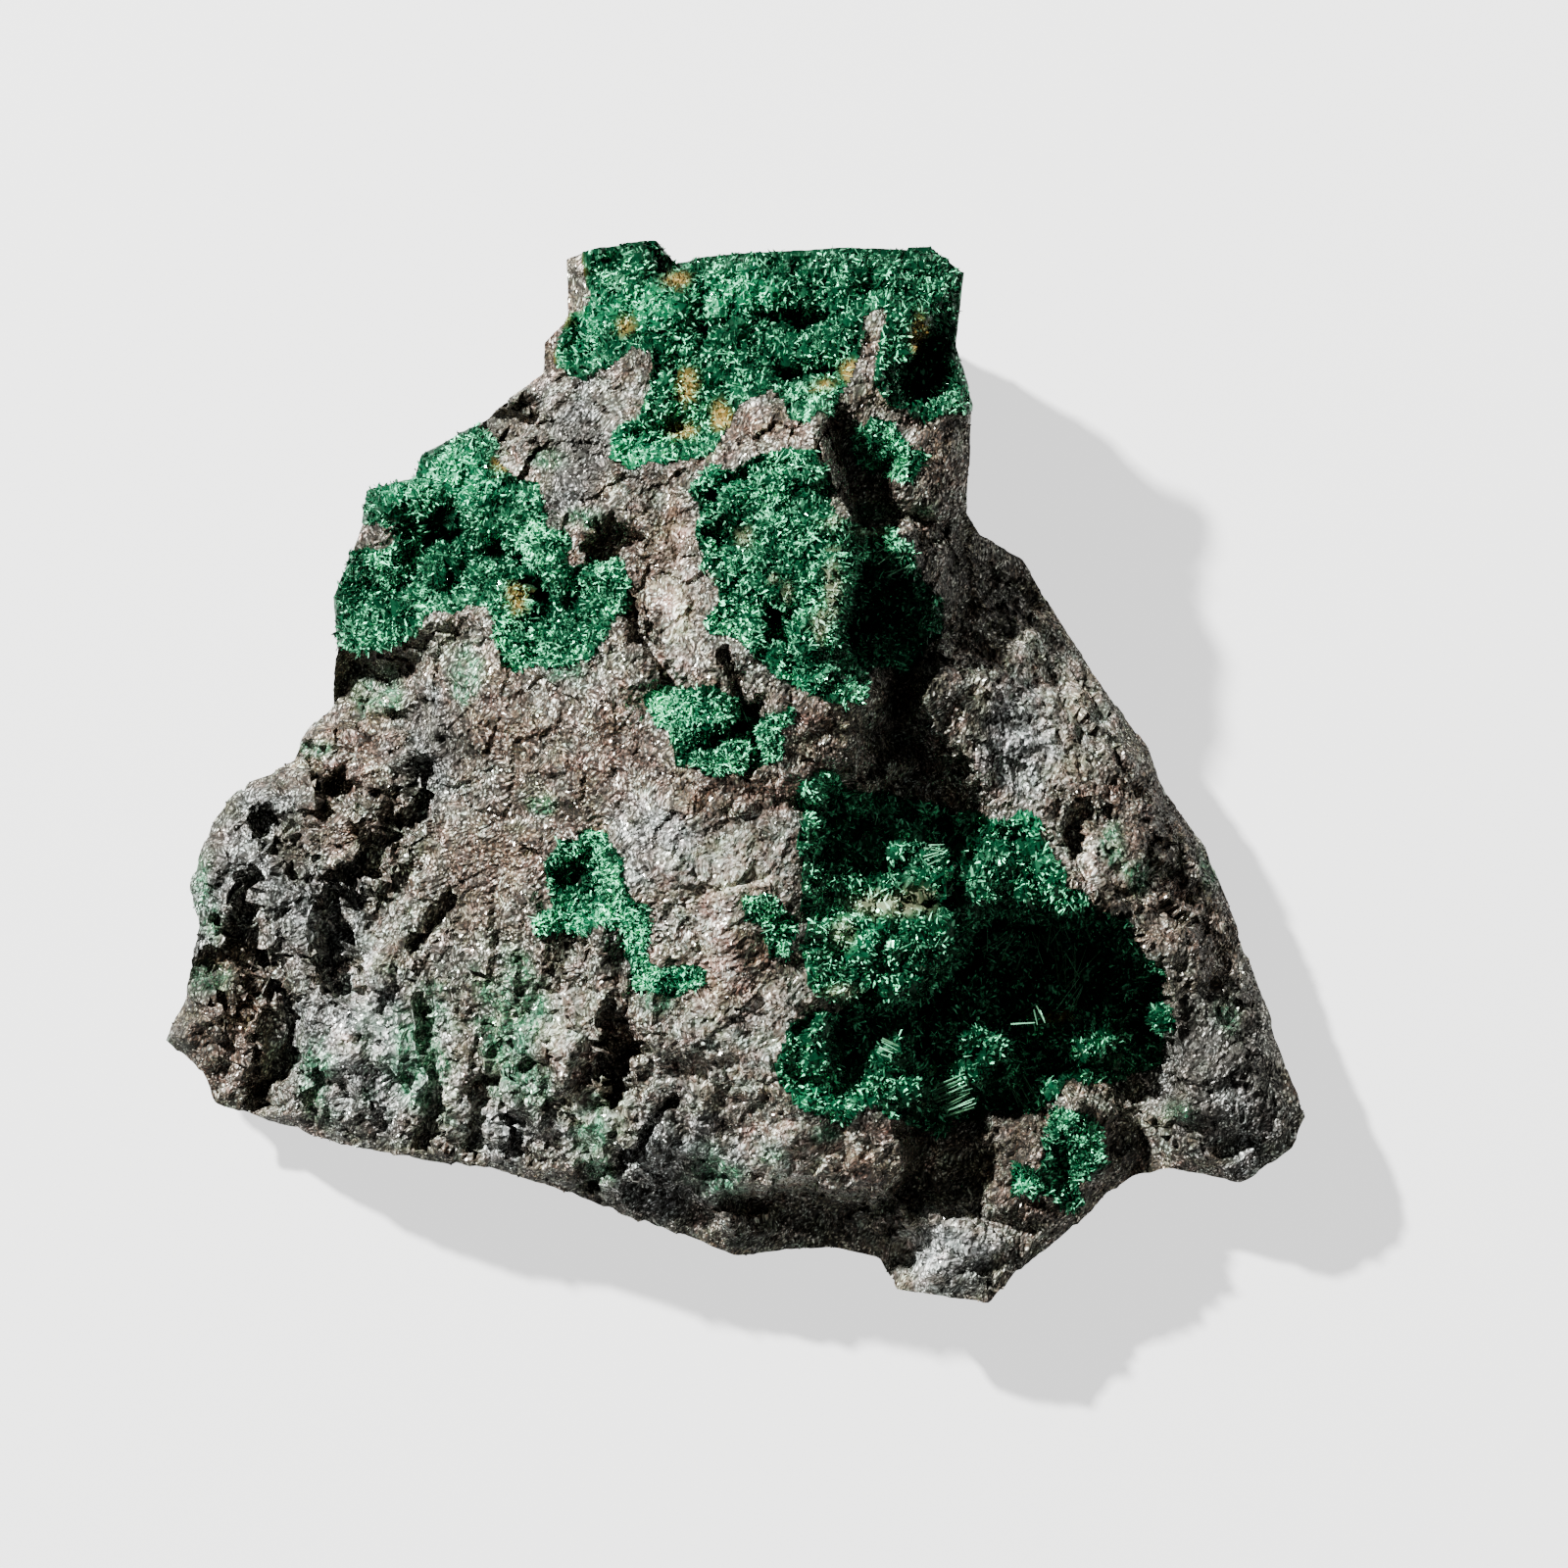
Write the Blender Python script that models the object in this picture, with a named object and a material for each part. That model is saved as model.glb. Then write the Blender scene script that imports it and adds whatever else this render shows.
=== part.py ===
"""Brochantite specimen: a broken lump of dark iron-rich host rock, lying on its flat back, with druses of
green brochantite crystals that line its hollows and coat its crest.

The host rock is one closed solid. Its display side is a survey of spot heights, creases and cracks over the
broken outline. Each druse is a crust of crystals of its own, which follows the rock under it with a small gap.
X runs across the specimen, Y up the display side, Z up from the surface that it lies on.
"""

import bmesh
import bpy
import numpy as np
from mathutils import Vector
from mathutils.geometry import delaunay_2d_cdt

MM = 0.001                 # every size below is in millimetres, and Blender works in metres

# ---- driving dimensions ------------------------------------------------------------------------------------
COLUMNS = 42               # cells of the display side's mesh, across and up
ROWS = 42
RUGGED = 0.45              # height of the broken surface's unevenness
RUBBLE = 1.3               # the same on the crumbly left edge, and how far the survey's creases wander
WANDER = 0.7
CRUST_DEPTH = 1.5          # how far the rock lies below a druse's crystals
CRUST_SLOPE = 1.3          # over this distance in from its edge the druse gains its whole depth
CRUST_GAP = 0.3            # between a druse and the rock
CRUST_MIN = 0.55           # least thickness of a druse, at its edge
CRYSTAL_RISE = (0.3, 1.0)  # least and most height of a crystal point above its cell
BREAKS = ((0.35, 0.995), (0.70, 0.945), (1.0, 0.87))   # side wall: share of the way down, and of the width
SEED = 7

# The broken outline, clockwise from the top left corner: x, y and the height at which the side wall starts.
OUTLINE = [
    (-13.1, 40.2, 27), (-10.5, 41.0, 28), (-6.3, 41.7, 28), (-4.6, 39.9, 28), (0.0, 40.6, 28.5),
    (8.0, 41.0, 28.5), (15.5, 41.0, 27), (17.8, 39.2, 26), (17.2, 33.5, 25), (18.5, 29.0, 25),
    (18.1, 20.4, 22), (19.3, 18.8, 17), (22.5, 17.0, 14), (25.2, 12.8, 12), (28.5, 7.5, 12), (32.5, 2.0, 11),
    (34.0, -1.5, 9), (37.0, -5.5, 9), (40.0, -13.0, 9), (41.6, -17.5, 9), (43.5, -23.2, 11),
    (45.0, -27.0, 10), (43.8, -29.5, 10), (40.0, -32.2, 9.5), (34.5, -31.1, 9), (31.5, -31.5, 7),
    (27.5, -35.0, 9), (22.0, -39.5, 10), (20.0, -41.7, 10.5), (15.0, -41.0, 11), (12.8, -40.6, 10),
    (11.4, -38.2, 6), (8.0, -37.4, 6), (4.0, -37.6, 6), (0.0, -38.0, 9), (-7.0, -35.2, 11),
    (-12.5, -33.2, 12), (-19.5, -30.8, 12), (-27.0, -30.0, 12), (-34.0, -28.2, 9.5), (-38.5, -26.8, 6),
    (-41.0, -26.0, 6.5), (-42.0, -23.5, 8), (-45.0, -21.0, 8), (-43.5, -17.5, 8), (-42.3, -12.0, 11),
    (-43.0, -8.0, 10), (-41.0, -3.2, 9), (-38.4, -0.5, 10), (-34.7, 1.3, 11), (-34.0, 3.3, 11),
    (-31.8, 5.5, 12), (-31.2, 10.0, 17), (-31.4, 14.0, 19), (-29.2, 19.5, 21), (-28.8, 22.3, 21),
    (-25.0, 23.2, 22), (-24.5, 25.0, 22), (-20.0, 27.5, 22), (-17.8, 29.3, 23), (-15.0, 31.3, 25),
    (-14.9, 33.8, 26), (-13.0, 35.5, 27),
]
CORNERS = ((-13.1, 40.2), (17.8, 39.2), (45.0, -27.0), (-45.0, -21.0))   # top left, top right, and below

# Creases of the display side, each a run of x, y and height.
CREASES = {
    "crest": [(3.5, 27.0, 34), (6.2, 27.3, 35.3), (5.9, 25.0, 36), (6.3, 22.4, 36.5), (7.8, 20.4, 36.5),
              (8.4, 17.0, 36.5), (7.9, 13.5, 36), (6.9, 10.2, 35), (7.4, 7.8, 33.5), (9.2, 5.5, 32),
              (8.7, 3.0, 31), (8.7, 0.5, 29.5)],
    "crest foot": [(7.3, 28.6, 31), (7.3, 25.6, 28), (7.8, 22.9, 26.5), (9.4, 20.6, 26.5), (10.2, 17.6, 28.5),
                   (9.6, 13.8, 28), (9.2, 10.6, 28), (10.2, 8.4, 28)],
    "neck foot": [(12.8, 20.2, 25), (10.6, 22.3, 26), (9.0, 25.4, 27.5)],
    "neck edge": [(9.2, 27.6, 30.5), (10.2, 25.4, 29.5), (12.6, 23.0, 28.8), (15.2, 20.8, 26.5)],
    "valley": [(16.6, 15.5, 21), (16.2, 12.0, 20.5), (13.6, 8.4, 21), (12.8, 4.4, 20), (14.2, 0.5, 19),
               (17.4, -2.4, 18.5)],
    "right slope, left edge": [(19.0, 7.5, 22.5), (17.2, 6.0, 24.8), (15.2, 7.4, 26.3), (14.9, 5.2, 26.2),
                               (16.5, 2.6, 24.2), (18.4, 1.2, 22.8), (19.8, -1.2, 21)],
    "right crack, upper edge": [(32.6, 0.4, 12.5), (30.0, -0.3, 16.5), (27.0, -1.0, 18)],
    "right crack, lower edge": [(33.0, -0.9, 11.5), (30.0, -1.2, 16), (27.6, -1.7, 18.5)],
    "great hollow, right rim": [(21.0, -2.3, 20.5), (25.0, -7.2, 20.5), (29.0, -9.3, 19.5),
                                (32.0, -12.6, 18), (34.2, -17.5, 17), (35.2, -22.0, 16), (34.7, -26.0, 15)],
    "great hollow, right foot": [(21.6, -10.6, 8.5), (25.2, -10.8, 7), (28.4, -11.4, 6), (31.0, -14.0, 5),
                                 (33.0, -18.2, 4.5), (33.9, -22.0, 4.5), (33.4, -25.4, 5)],
    "great hollow, right shelf": [(19.2, -5.0, 20), (20.8, -8.9, 21.8), (24.6, -9.2, 19)],
    "great hollow, left rim": [(4.7, -2.0, 28.5), (4.7, -8.0, 27.5), (4.6, -14.0, 26), (7.4, -17.2, 25)],
    "great hollow, left foot": [(7.0, -2.6, 22.5), (7.0, -5.0, 24)],
    "ledge": [(6.4, -11.0, 24.5), (9.0, -11.5, 24), (13.0, -10.5, 24.2), (16.8, -9.2, 25.5)],
    "ledge, lower edge": [(9.0, -17.4, 23), (11.5, -16.4, 22.4), (14.6, -14.2, 22.3), (17.4, -11.0, 22.5)],
    "ledge foot": [(9.6, -18.9, 17.5), (13.0, -18.0, 12), (16.6, -15.4, 8.5), (19.0, -12.0, 8)],
    "lip": [(1.2, -31.8, 17), (3.6, -31.9, 18), (6.0, -31.6, 18), (8.5, -33.0, 17), (11.0, -32.4, 17.5),
            (13.0, -30.0, 18.5), (12.6, -27.8, 19.5)],
    "under the lip": [(1.8, -33.4, 9), (6.0, -33.2, 9), (9.0, -34.6, 8.5), (12.3, -33.6, 8.5),
                      (14.6, -30.6, 9), (14.4, -28.2, 10)],
    "left druse, lower edge": [(-30.6, 10.6, 18.5), (-27.0, 10.1, 21), (-24.5, 11.0, 23.5), (-23.0, 12.0, 25)],
    "below the left druse": [(-30.2, 8.8, 13), (-27.0, 7.8, 15), (-24.5, 9.0, 19), (-22.6, 10.6, 22.5)],
    "left gully": [(-39.6, -12.6, 6.5), (-37.6, -14.6, 5.5), (-36.0, -17.6, 5), (-35.6, -21.0, 5),
                   (-36.4, -25.6, 4.5)],
    "left gully, left bank": [(-41.2, -10.6, 12), (-40.4, -14.4, 11.5), (-38.8, -17.4, 11.5),
                              (-38.4, -21.0, 9.5), (-38.8, -24.4, 8)],
    "left gully, right bank": [(-37.0, -11.6, 15), (-34.9, -15.0, 15.5), (-34.0, -19.0, 14.5),
                               (-34.2, -23.0, 14), (-34.9, -26.6, 11.5)],
    "left lobe ridge": [(-44.0, -20.6, 9.5), (-41.6, -18.6, 11.8)],
    "foot, upper edge": [(12.9, -34.8, 13.5), (15.4, -35.0, 14.5), (18.8, -36.2, 14), (21.4, -37.6, 12.5)],
    "foot, back": [(13.6, -33.6, 9), (16.4, -33.8, 9), (19.8, -35.0, 10), (22.6, -36.4, 11)],
}

# Single heights between the creases, by the face or hollow that they shape: x, y and height.
SPOTS = {
    "top block": [(-11, 38, 28.5), (-2, 37, 29.5), (6, 38, 29.5), (14.0, 38.2, 28), (15.0, 33, 28),
                  (15.4, 28, 28.5), (15.8, 23.5, 27), (-12, 34, 28.5), (-5, 30, 30), (1, 31, 31),
                  (5, 32, 30.5), (10, 32, 30), (11, 28.6, 30.6), (16.4, 19.6, 22)],
    "grey block": [(-14.6, 30, 28), (-11.5, 31.5, 30), (-9.4, 32.6, 31), (-8.0, 29, 31.5), (-9.2, 25, 32),
                   (-8.2, 21.2, 32.5), (-10.4, 20, 31.5), (-13.2, 18.8, 30.5), (-14.9, 22, 29.5),
                   (-14.8, 26, 29)],
    "left shoulder": [(-22, 25, 24.5), (-19, 25, 25), (-17, 24, 27), (-27, 21, 24), (-22, 21, 25), (-17, 20, 27),
                      (-28.5, 14, 21.5), (-28, 11.6, 21), (-23, 14.5, 24.5), (-18, 15, 27), (-12, 14, 30),
                      (-9.6, 14, 31), (-10, 10.5, 31), (-14, 9, 29.5), (-18, 10, 28), (-20.6, 12, 26.5)],
    "broad face": [(-3, 24, 33), (-7, 22.6, 31.5), (-5, 15, 32), (-2, 12, 33.5), (-3, 8, 33), (0, 2, 32),
                   (5, 3, 31.8), (-5, -5, 30), (2, -8, 28.8), (0, -15, 27), (-3, -20, 25), (1, -25, 22.5),
                   (-10, 5, 30), (-15, 5, 28), (-15, -5, 26), (-20, 3, 26), (-20, -8, 23.5), (-10, -10, 27.5),
                   (-15, -15, 23.5), (-10, -17.6, 25), (-12.4, -22, 21.5), (-20, -18, 20.5), (-5, -28, 20),
                   (-10, -30, 16.5), (-18, -28, 15.5), (-1, -33, 15), (-4, -34, 13), (0.2, -36.4, 11)],
    "lower left": [(-25, -12, 20.5), (-28, -15, 19.5), (-25, -22, 17.5), (-30, -22, 16.5), (-28, -27, 13.5),
                   (-33, -12, 18), (-35, -9, 17.5), (-38, -6, 15), (-36, -2, 15), (-30, -2, 19),
                   (-30, 3, 17), (-25, 1, 21.5), (-27, 5.6, 19), (-22.6, 8, 24), (-41, -7, 12),
                   (-42, -15, 9.5), (-40.8, -23.6, 7.5)],
    "crest flank": [(12.2, 18.2, 30), (12.0, 13.5, 26), (14.6, 15.6, 26.5), (14.6, 11, 23.5),
                    (11.6, 8.6, 26.5)],
    "right slope": [(19.5, 15, 18), (22, 14, 15.5), (24.4, 10.8, 15.5), (22.4, 9.6, 18.5), (20.4, 8.4, 20.8),
                    (22, 5, 21.2), (27, 4, 18), (30.6, 2.2, 15), (21.6, 1, 21.4), (24.5, -1, 20),
                    (26.2, -6.4, 19.2), (28.4, -4, 18.8), (33, -5, 16), (35.8, -7, 12), (31.0, -8.6, 18),
                    (34.6, -12, 16.5), (38, -13, 11.5), (36.6, -17, 16), (38.6, -18.6, 15), (41, -21, 13),
                    (37.4, -22, 15.5), (40, -25, 14), (36.6, -27, 14.5), (41, -28.4, 12), (37, -30, 12)],
    "great hollow, upper bowl": [(9.6, -2.6, 22), (13.4, -2.8, 20.5), (11, -5.4, 23.6), (15, -5, 22.3),
                                 (11, -8.0, 23), (15.4, -7.2, 22), (18.2, -6.0, 20.5), (23.0, -6.0, 20)],
    "great hollow, lower bowl": [(23, -14, 6), (26, -15.6, 5.5), (29.6, -19.4, 4.5), (31.6, -23, 4.5),
                                 (30.8, -25.4, 5), (29.4, -24, 5.5), (23.4, -25.6, 8.5), (25.6, -23.6, 8),
                                 (20, -25.4, 9), (16, -26, 12), (12, -21, 20.2), (10.0, -20.2, 19.8),
                                 (13.6, -23.5, 18), (18.6, -19.6, 17.5), (20.2, -21.4, 17), (21.2, -17.0, 8.5),
                                 (22.4, -20.6, 8), (24.4, -20.2, 12), (27.8, -21.6, 12), (26.2, -21.2, 7.5),
                                 (27.6, -23.6, 7), (26.6, -19.4, 6), (16.0, -20.4, 10.5), (16.2, -18.4, 9.5)],
    "left of the great hollow": [(5.4, -19.4, 24.5), (3.2, -22.6, 24), (5.4, -26, 22), (9, -26.6, 20.5)],
    "lower right": [(32.4, -28.2, 8.5), (29.4, -27.0, 12), (26.6, -26.8, 15.2), (24, -30, 15.5),
                    (27.4, -31, 14), (22.4, -32.4, 14.5), (26, -33.8, 11.5), (21, -28.6, 14),
                    (17.6, -29, 9), (19.0, -32.4, 8), (11.8, -36.6, 7), (4, -36.2, 7), (8, -36, 7)],
    "foot": [(16, -38.0, 13), (19, -39.0, 12.5), (24.4, -35.6, 11.5)],
}

# Cracks and pits: the line they follow, half their width and their depth.
PITS = {
    "pit under the grey block": ([(-10.6, 17.4), (-8.6, 18.8)], 1.2, 3.4),
    "hole above the left druse": ([(-18.8, 27.2), (-16.8, 27.4)], 1.6, 6.0),
    "slit left of the broad face": ([(-8.2, 13.5), (-6.6, 10.0), (-5.0, 6.8)], 0.75, 3.0),
    "slit above the saddle druse": ([(-0.6, 9.2), (0.8, 6.0), (2.0, 3.4)], 0.5, 2.2),
    "upper rubble groove": ([(-24.6, 0.6), (-25.4, -3.4), (-27.8, -6.2), (-30.8, -7.8)], 0.9, 3.8),
    "left rubble groove": ([(-37.6, -2.8), (-36.2, -5.0), (-33.2, -8.0), (-31.6, -8.8)], 0.9, 3.6),
    "rubble hollow": ([(-31.6, -2.4), (-31.0, -1.2)], 1.1, 3.0),
    "rubble nick": ([(-33.8, 2.4), (-32.8, 0.8)], 0.7, 2.4),
    "long pit": ([(-30.9, -10.6), (-31.9, -13.4), (-31.0, -16.0)], 1.4, 6.0),
    "gully head": ([(-38.0, -8.8), (-38.4, -11.4)], 0.9, 4.0),
    "slanting cut": ([(-25.0, -13.8), (-23.6, -11.6), (-22.4, -9.6)], 0.55, 2.2),
    "curved step": ([(-24.9, -17.6), (-24.2, -20.6), (-23.2, -23.8), (-24.4, -28.8)], 0.5, 2.0),
    "upright cut": ([(-17.8, -25.6), (-17.4, -28.6)], 0.5, 2.0),
    "level cut": ([(-20.0, -24.2), (-17.2, -23.6), (-14.4, -22.0)], 0.4, 1.6),
    "cut under the slope druse": ([(-13.2, -11.8), (-12.9, -14.4)], 0.5, 2.0),
    "lower furrow": ([(-20.3, -24.6), (-20.5, -29.8)], 0.6, 2.6),
    "middle pit": ([(-8.9, -19.6), (-8.6, -21.6), (-9.8, -24.6)], 1.2, 4.5),
    "short crack": ([(-5.0, -25.6), (-6.8, -28.6), (-11.6, -32.0)], 0.5, 2.0),
    "right crack": ([(27.2, -2.0), (26.8, -6.0)], 0.6, 2.2),
}

# The druses of brochantite: the outline of each, as seen from the display side.
DRUSES = {
    "top": [(-11.6, 43), (17, 43), (20, 39.5), (19, 36), (19, 33.5), (20, 30.5), (20, 28.2), (14.6, 28),
            (12.2, 29), (10.8, 30.8), (11.4, 33.6),
            (12.4, 35.4), (11.6, 36.4), (10.3, 35.8), (9.4, 33), (8.8, 30.6), (7.6, 28.4), (6.2, 27),
            (4.2, 27.8), (2.2, 29.8), (1, 29.4), (0.2, 27), (-1.8, 25), (-5, 24.2), (-8.3, 23.7), (-9.9, 25),
            (-9.6, 26.9), (-7.2, 27.9), (-6.3, 30.5), (-6.7, 33.2), (-8.2, 33.9), (-10, 31.3), (-12.6, 31),
            (-14.2, 32), (-13.5, 34.2), (-12.9, 35.8), (-11.4, 36.6)],
    "neck": [(10.2, 27.5), (12.5, 27.2), (14.3, 25.5), (14.9, 24.5), (14, 22.8), (12, 23), (10.6, 24),
             (9.3, 25.6)],
    "left_shoulder": [(-26, 24.5), (-26, 26), (-21, 28.5), (-20, 27), (-19.2, 26), (-18.6, 24.6),
                      (-17, 23.4), (-15.3, 22.6), (-14.8, 20.5), (-14.6, 19), (-13.2, 17.8), (-12.6, 16.4),
                      (-10.5, 16.2), (-8.6, 16.4), (-8.2, 14.8), (-9, 12.5), (-9.8, 10.6), (-11, 9),
                      (-13.5, 8.2), (-15, 8.9), (-17, 8), (-18.3, 8.6), (-19.2, 11), (-19, 12.8), (-21, 13.2),
                      (-23.5, 12.8), (-24.2, 11.6), (-26, 10.6), (-29, 10), (-33, 9.8), (-33, 14),
                      (-31, 17), (-27.8, 17.6), (-26, 18.4), (-28, 19.6), (-31, 20.5), (-30.5, 23.5)],
    "crest": [(-3.2, 20.5), (-3, 22.3), (-2, 23.7), (0.5, 23.6), (1.8, 24.8), (4, 25.4), (6.4, 25.2),
              (6.8, 23), (8.2, 20.3), (10, 19.2), (12, 19.1), (13.8, 17.8), (15, 15), (16.2, 13), (15.8, 10.5),
              (13.8, 8.3), (11.5, 8), (10.3, 7.8), (9.4, 5.6), (7.5, 5), (6, 6.2), (4.2, 7.6), (1.8, 9),
              (0, 10.6), (-2.2, 11.2), (-1.4, 14), (-2.4, 16), (-3, 18.3)],
    "saddle": [(-7, 5.6), (-5.8, 6.6), (-3, 6.5), (-0.6, 6.3), (0.4, 5), (2, 4.3), (4.4, 5.2), (4.2, 4),
               (3.2, 3), (4, 1.6), (2.6, 0.8), (1, 0.7), (-1.4, 0.2), (-4, 0.3), (-4.8, 1.5), (-4.8, 3.2),
               (-6.2, 4)],
    "great_hollow": [(5, -1.2), (6.5, 0.3), (8.6, 0.2), (9, -1), (13, -1.6), (17, -2.8), (21, -3),
                     (22.6, -2.4), (24, -3.2), (23.8, -5), (25.2, -7), (26.5, -8.8), (30, -11), (32.6, -14),
                     (33.8, -17), (34.6, -20), (33.5, -22.8), (30, -24.5), (28.2, -24.6), (26.6, -24.4),
                     (24.6, -26.2), (20.5, -26.6), (17.5, -27), (16.4, -28.6), (14.6, -28), (13.5, -27),
                     (11, -26), (8.4, -27), (5.4, -26.6), (4.2, -25), (3, -22.6), (4.2, -20), (6.5, -19),
                     (8.5, -18.2), (5.8, -16.6), (5.4, -13), (5.4, -9.5), (4.8, -7), (5, -4)],
    "hollow_rim": [(0.6, -9.4), (2.4, -9.2), (3.8, -10.8), (4.7, -11.5), (4.6, -14.3), (3.2, -14.2),
                   (2.4, -12.6), (0.8, -11.6)],
    "foot": [(24.8, -27.2), (26, -26.8), (28.5, -26.9), (29.4, -28.4), (28.6, -30), (28.2, -31.4),
             (27.4, -33), (26.4, -34.2), (25, -33), (23, -32.8), (21.4, -33.2), (22, -31.4), (23.6, -30.4),
             (24.2, -28.6)],
    "slope": [(-14.2, -5.2), (-12.6, -5.4), (-11.6, -4.6), (-10, -5), (-8.9, -6.2), (-8.8, -8.2), (-8, -9.6),
              (-7, -10.4), (-6.8, -12.5), (-7.2, -14.4), (-5.6, -15.2), (-2.2, -15.2), (-2.8, -16.8),
              (-5.6, -17), (-8, -16.8), (-8.6, -14.6), (-8.2, -12.6), (-10, -11.6), (-11.6, -12.6),
              (-13.4, -12.2), (-15.8, -12.4), (-16, -11), (-14.4, -10), (-14.6, -8)],
}

# Small vugs inside the druses: the line each follows, half its width and its depth.
VUGS = [
    ([(2.2, 35.6), (5.6, 35.6)], 1.7, 4.5), ([(-3.0, 36.2), (-2.4, 33.8)], 1.1, 4.0),
    ([(-11.0, 33.8), (-10.6, 33.0)], 1.1, 3.5), ([(15.2, 35.2), (15.0, 30.2)], 1.4, 3.5),
    ([(-5.0, 26.4), (-4.6, 27.0)], 0.9, 2.5), ([(4.6, 30.4), (5.6, 31.2)], 1.2, 3.0),
    ([(-5.6, 39.6), (-4.6, 39.0)], 1.3, 4.0), ([(-24.0, 19.2), (-20.4, 17.6)], 2.2, 5.0),
    ([(-14.4, 14.4), (-13.0, 12.8)], 1.8, 4.5), ([(-29.0, 14.8), (-27.2, 12.6)], 1.5, 4.0),
    ([(-25.8, 15.6), (-24.4, 16.2)], 1.1, 3.0), ([(-17.0, 17.4), (-16.6, 15.4)], 1.0, 3.0),
    ([(3.0, 12.8), (3.8, 10.6)], 1.5, 4.0), ([(-1.4, 17.8), (-0.6, 16.6)], 1.0, 3.0),
    ([(0.8, 4.2), (1.6, 2.4)], 1.5, 4.0), ([(11.2, 15.4), (11.2, 12.0)], 2.4, 4.0),
    ([(8.8, 10.6), (9.4, 9.8)], 1.3, 3.5), ([(25.8, -29.6), (26.2, -31.4)], 1.0, 3.0),
    ([(-12.2, -6.4), (-11.4, -7.0)], 1.1, 3.0), ([(6.8, -3.6), (6.8, -6.4)], 1.2, 3.0),
    ([(12.4, -3.6), (16.4, -4.6)], 1.4, 4.0), ([(7.4, -13.6), (8.2, -14.4)], 0.9, 2.5),
]

# The crumbly left edge.
RUBBLE_ZONE = [(-46, -20), (-40, -24), (-33, -19), (-27, -16), (-22, -8), (-22, 2), (-24, 9), (-34, 10), (-46, 0)]


# ---- shape of the display side -----------------------------------------------------------------------------
def lattice(cells, salt):
    """Repeatable random numbers from 0 to 1 for whole-number points (last axis x, y)."""
    key = cells[..., 0] * 374761393 + cells[..., 1] * 668265263 + salt * 974711
    key = (key ^ (key >> 13)) * 1274126177 & 0xFFFFFFFF
    return ((key ^ (key >> 16)) & 0xFFFF) / 65535.0


def ripple(xy, size, salt):
    """Smooth noise from -1 to 1: random values on a square lattice of that size, eased between."""
    scaled = xy / size
    corner = np.floor(scaled).astype(np.int64)
    part = scaled - corner
    ease = part * part * (3 - 2 * part)
    value = 0.0
    for dx in (0, 1):
        for dy in (0, 1):
            share = np.abs(1 - dx - ease[..., 0]) * np.abs(1 - dy - ease[..., 1])
            value = value + share * lattice(corner + [dx, dy], salt)
    return 2 * value - 1


def distance_to_line(xy, line):
    """Distance from each point to a run of straight stretches."""
    nearest = np.full(xy.shape[:-1], np.inf)
    for start, end in zip(np.array(line[:-1], float), np.array(line[1:], float)):
        run = end - start
        along = np.clip(((xy - start) @ run) / (run @ run), 0, 1)
        gap = np.linalg.norm(xy - start - along[..., None] * run, axis=-1)
        nearest = np.minimum(nearest, gap)
    return nearest


def depth_inside(xy, outline):
    """Distance to a closed outline, above 0 inside it and below 0 outside."""
    gap = distance_to_line(xy, outline + outline[:1])
    inside = np.zeros(xy.shape[:-1], bool)
    for (x0, y0), (x1, y1) in zip(outline, outline[1:] + outline[:1]):
        if y0 != y1:
            reach = x0 + (xy[..., 1] - y0) * (x1 - x0) / (y1 - y0)
            inside ^= ((y0 > xy[..., 1]) != (y1 > xy[..., 1])) & (xy[..., 0] < reach)
    return np.where(inside, gap, -gap)


def smooth_step(value):
    """0 below 0, 1 above 1, and an S curve between."""
    value = np.clip(value, 0, 1)
    return value * value * (3 - 2 * value)


def survey_triangles():
    """The survey's points joined in triangles, with every crease and the outline kept as edges."""
    runs = [OUTLINE + OUTLINE[:1], *CREASES.values()]
    points, edges, numbers = [], [], {}
    for run in runs:
        for point in run:
            if point[:2] not in numbers:
                numbers[point[:2]] = len(points)
                points.append(point)
        edges += [(numbers[start[:2]], numbers[end[:2]]) for start, end in zip(run, run[1:])]
    points += [spot for spots in SPOTS.values() for spot in spots]
    corners, _, faces, origin, _, _ = delaunay_2d_cdt([Vector(point[:2]) for point in points], edges, [], 0, 1e-4)
    cloud = np.array([(*corner, points[first[0]][2]) for corner, first in zip(corners, origin)])
    return cloud[np.array([face[:3] for face in faces])]


def survey_height(xy, triangles):
    """The survey's height at each point, on the flat triangle that it lies over."""
    height = np.zeros(xy.shape[:-1])
    nearest = np.full(xy.shape[:-1], -np.inf)
    for a, b, c in triangles:
        ab, ac, ap = b[:2] - a[:2], c[:2] - a[:2], xy - a[:2]
        area = ab[0] * ac[1] - ab[1] * ac[0]
        if abs(area) < 1e-6:
            continue
        wb = (ap[..., 0] * ac[1] - ap[..., 1] * ac[0]) / area
        wc = (ap[..., 1] * ab[0] - ap[..., 0] * ab[1]) / area
        least = np.minimum(np.minimum(wb, wc), 1 - wb - wc)
        height = np.where(least > nearest, a[2] + wb * (b[2] - a[2]) + wc * (c[2] - a[2]), height)
        nearest = np.maximum(nearest, least)
    return height


def display_height(xy, triangles):
    """Height of the display side, druses included: the survey with wandering creases, uneven, less its pits."""
    rim = smooth_step(depth_inside(xy, [point[:2] for point in OUTLINE]) / 3)
    sway = np.stack([ripple(xy, 5.0, 1), ripple(xy, 5.0, 2)], axis=-1) * WANDER * rim[..., None]
    height = survey_height(xy + sway, triangles)
    height = height + RUGGED * rim * (ripple(xy, 3.2, 3) + ripple(xy, 7.0, 4))
    rubble = smooth_step(depth_inside(xy, RUBBLE_ZONE) / 4)
    height = height + RUBBLE * rim * rubble * ripple(xy, 3.4, 5)
    for line, half_width, depth in [*PITS.values(), *VUGS]:
        height = height - depth * smooth_step(1.35 - distance_to_line(xy, line) / half_width)
    return height


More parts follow.
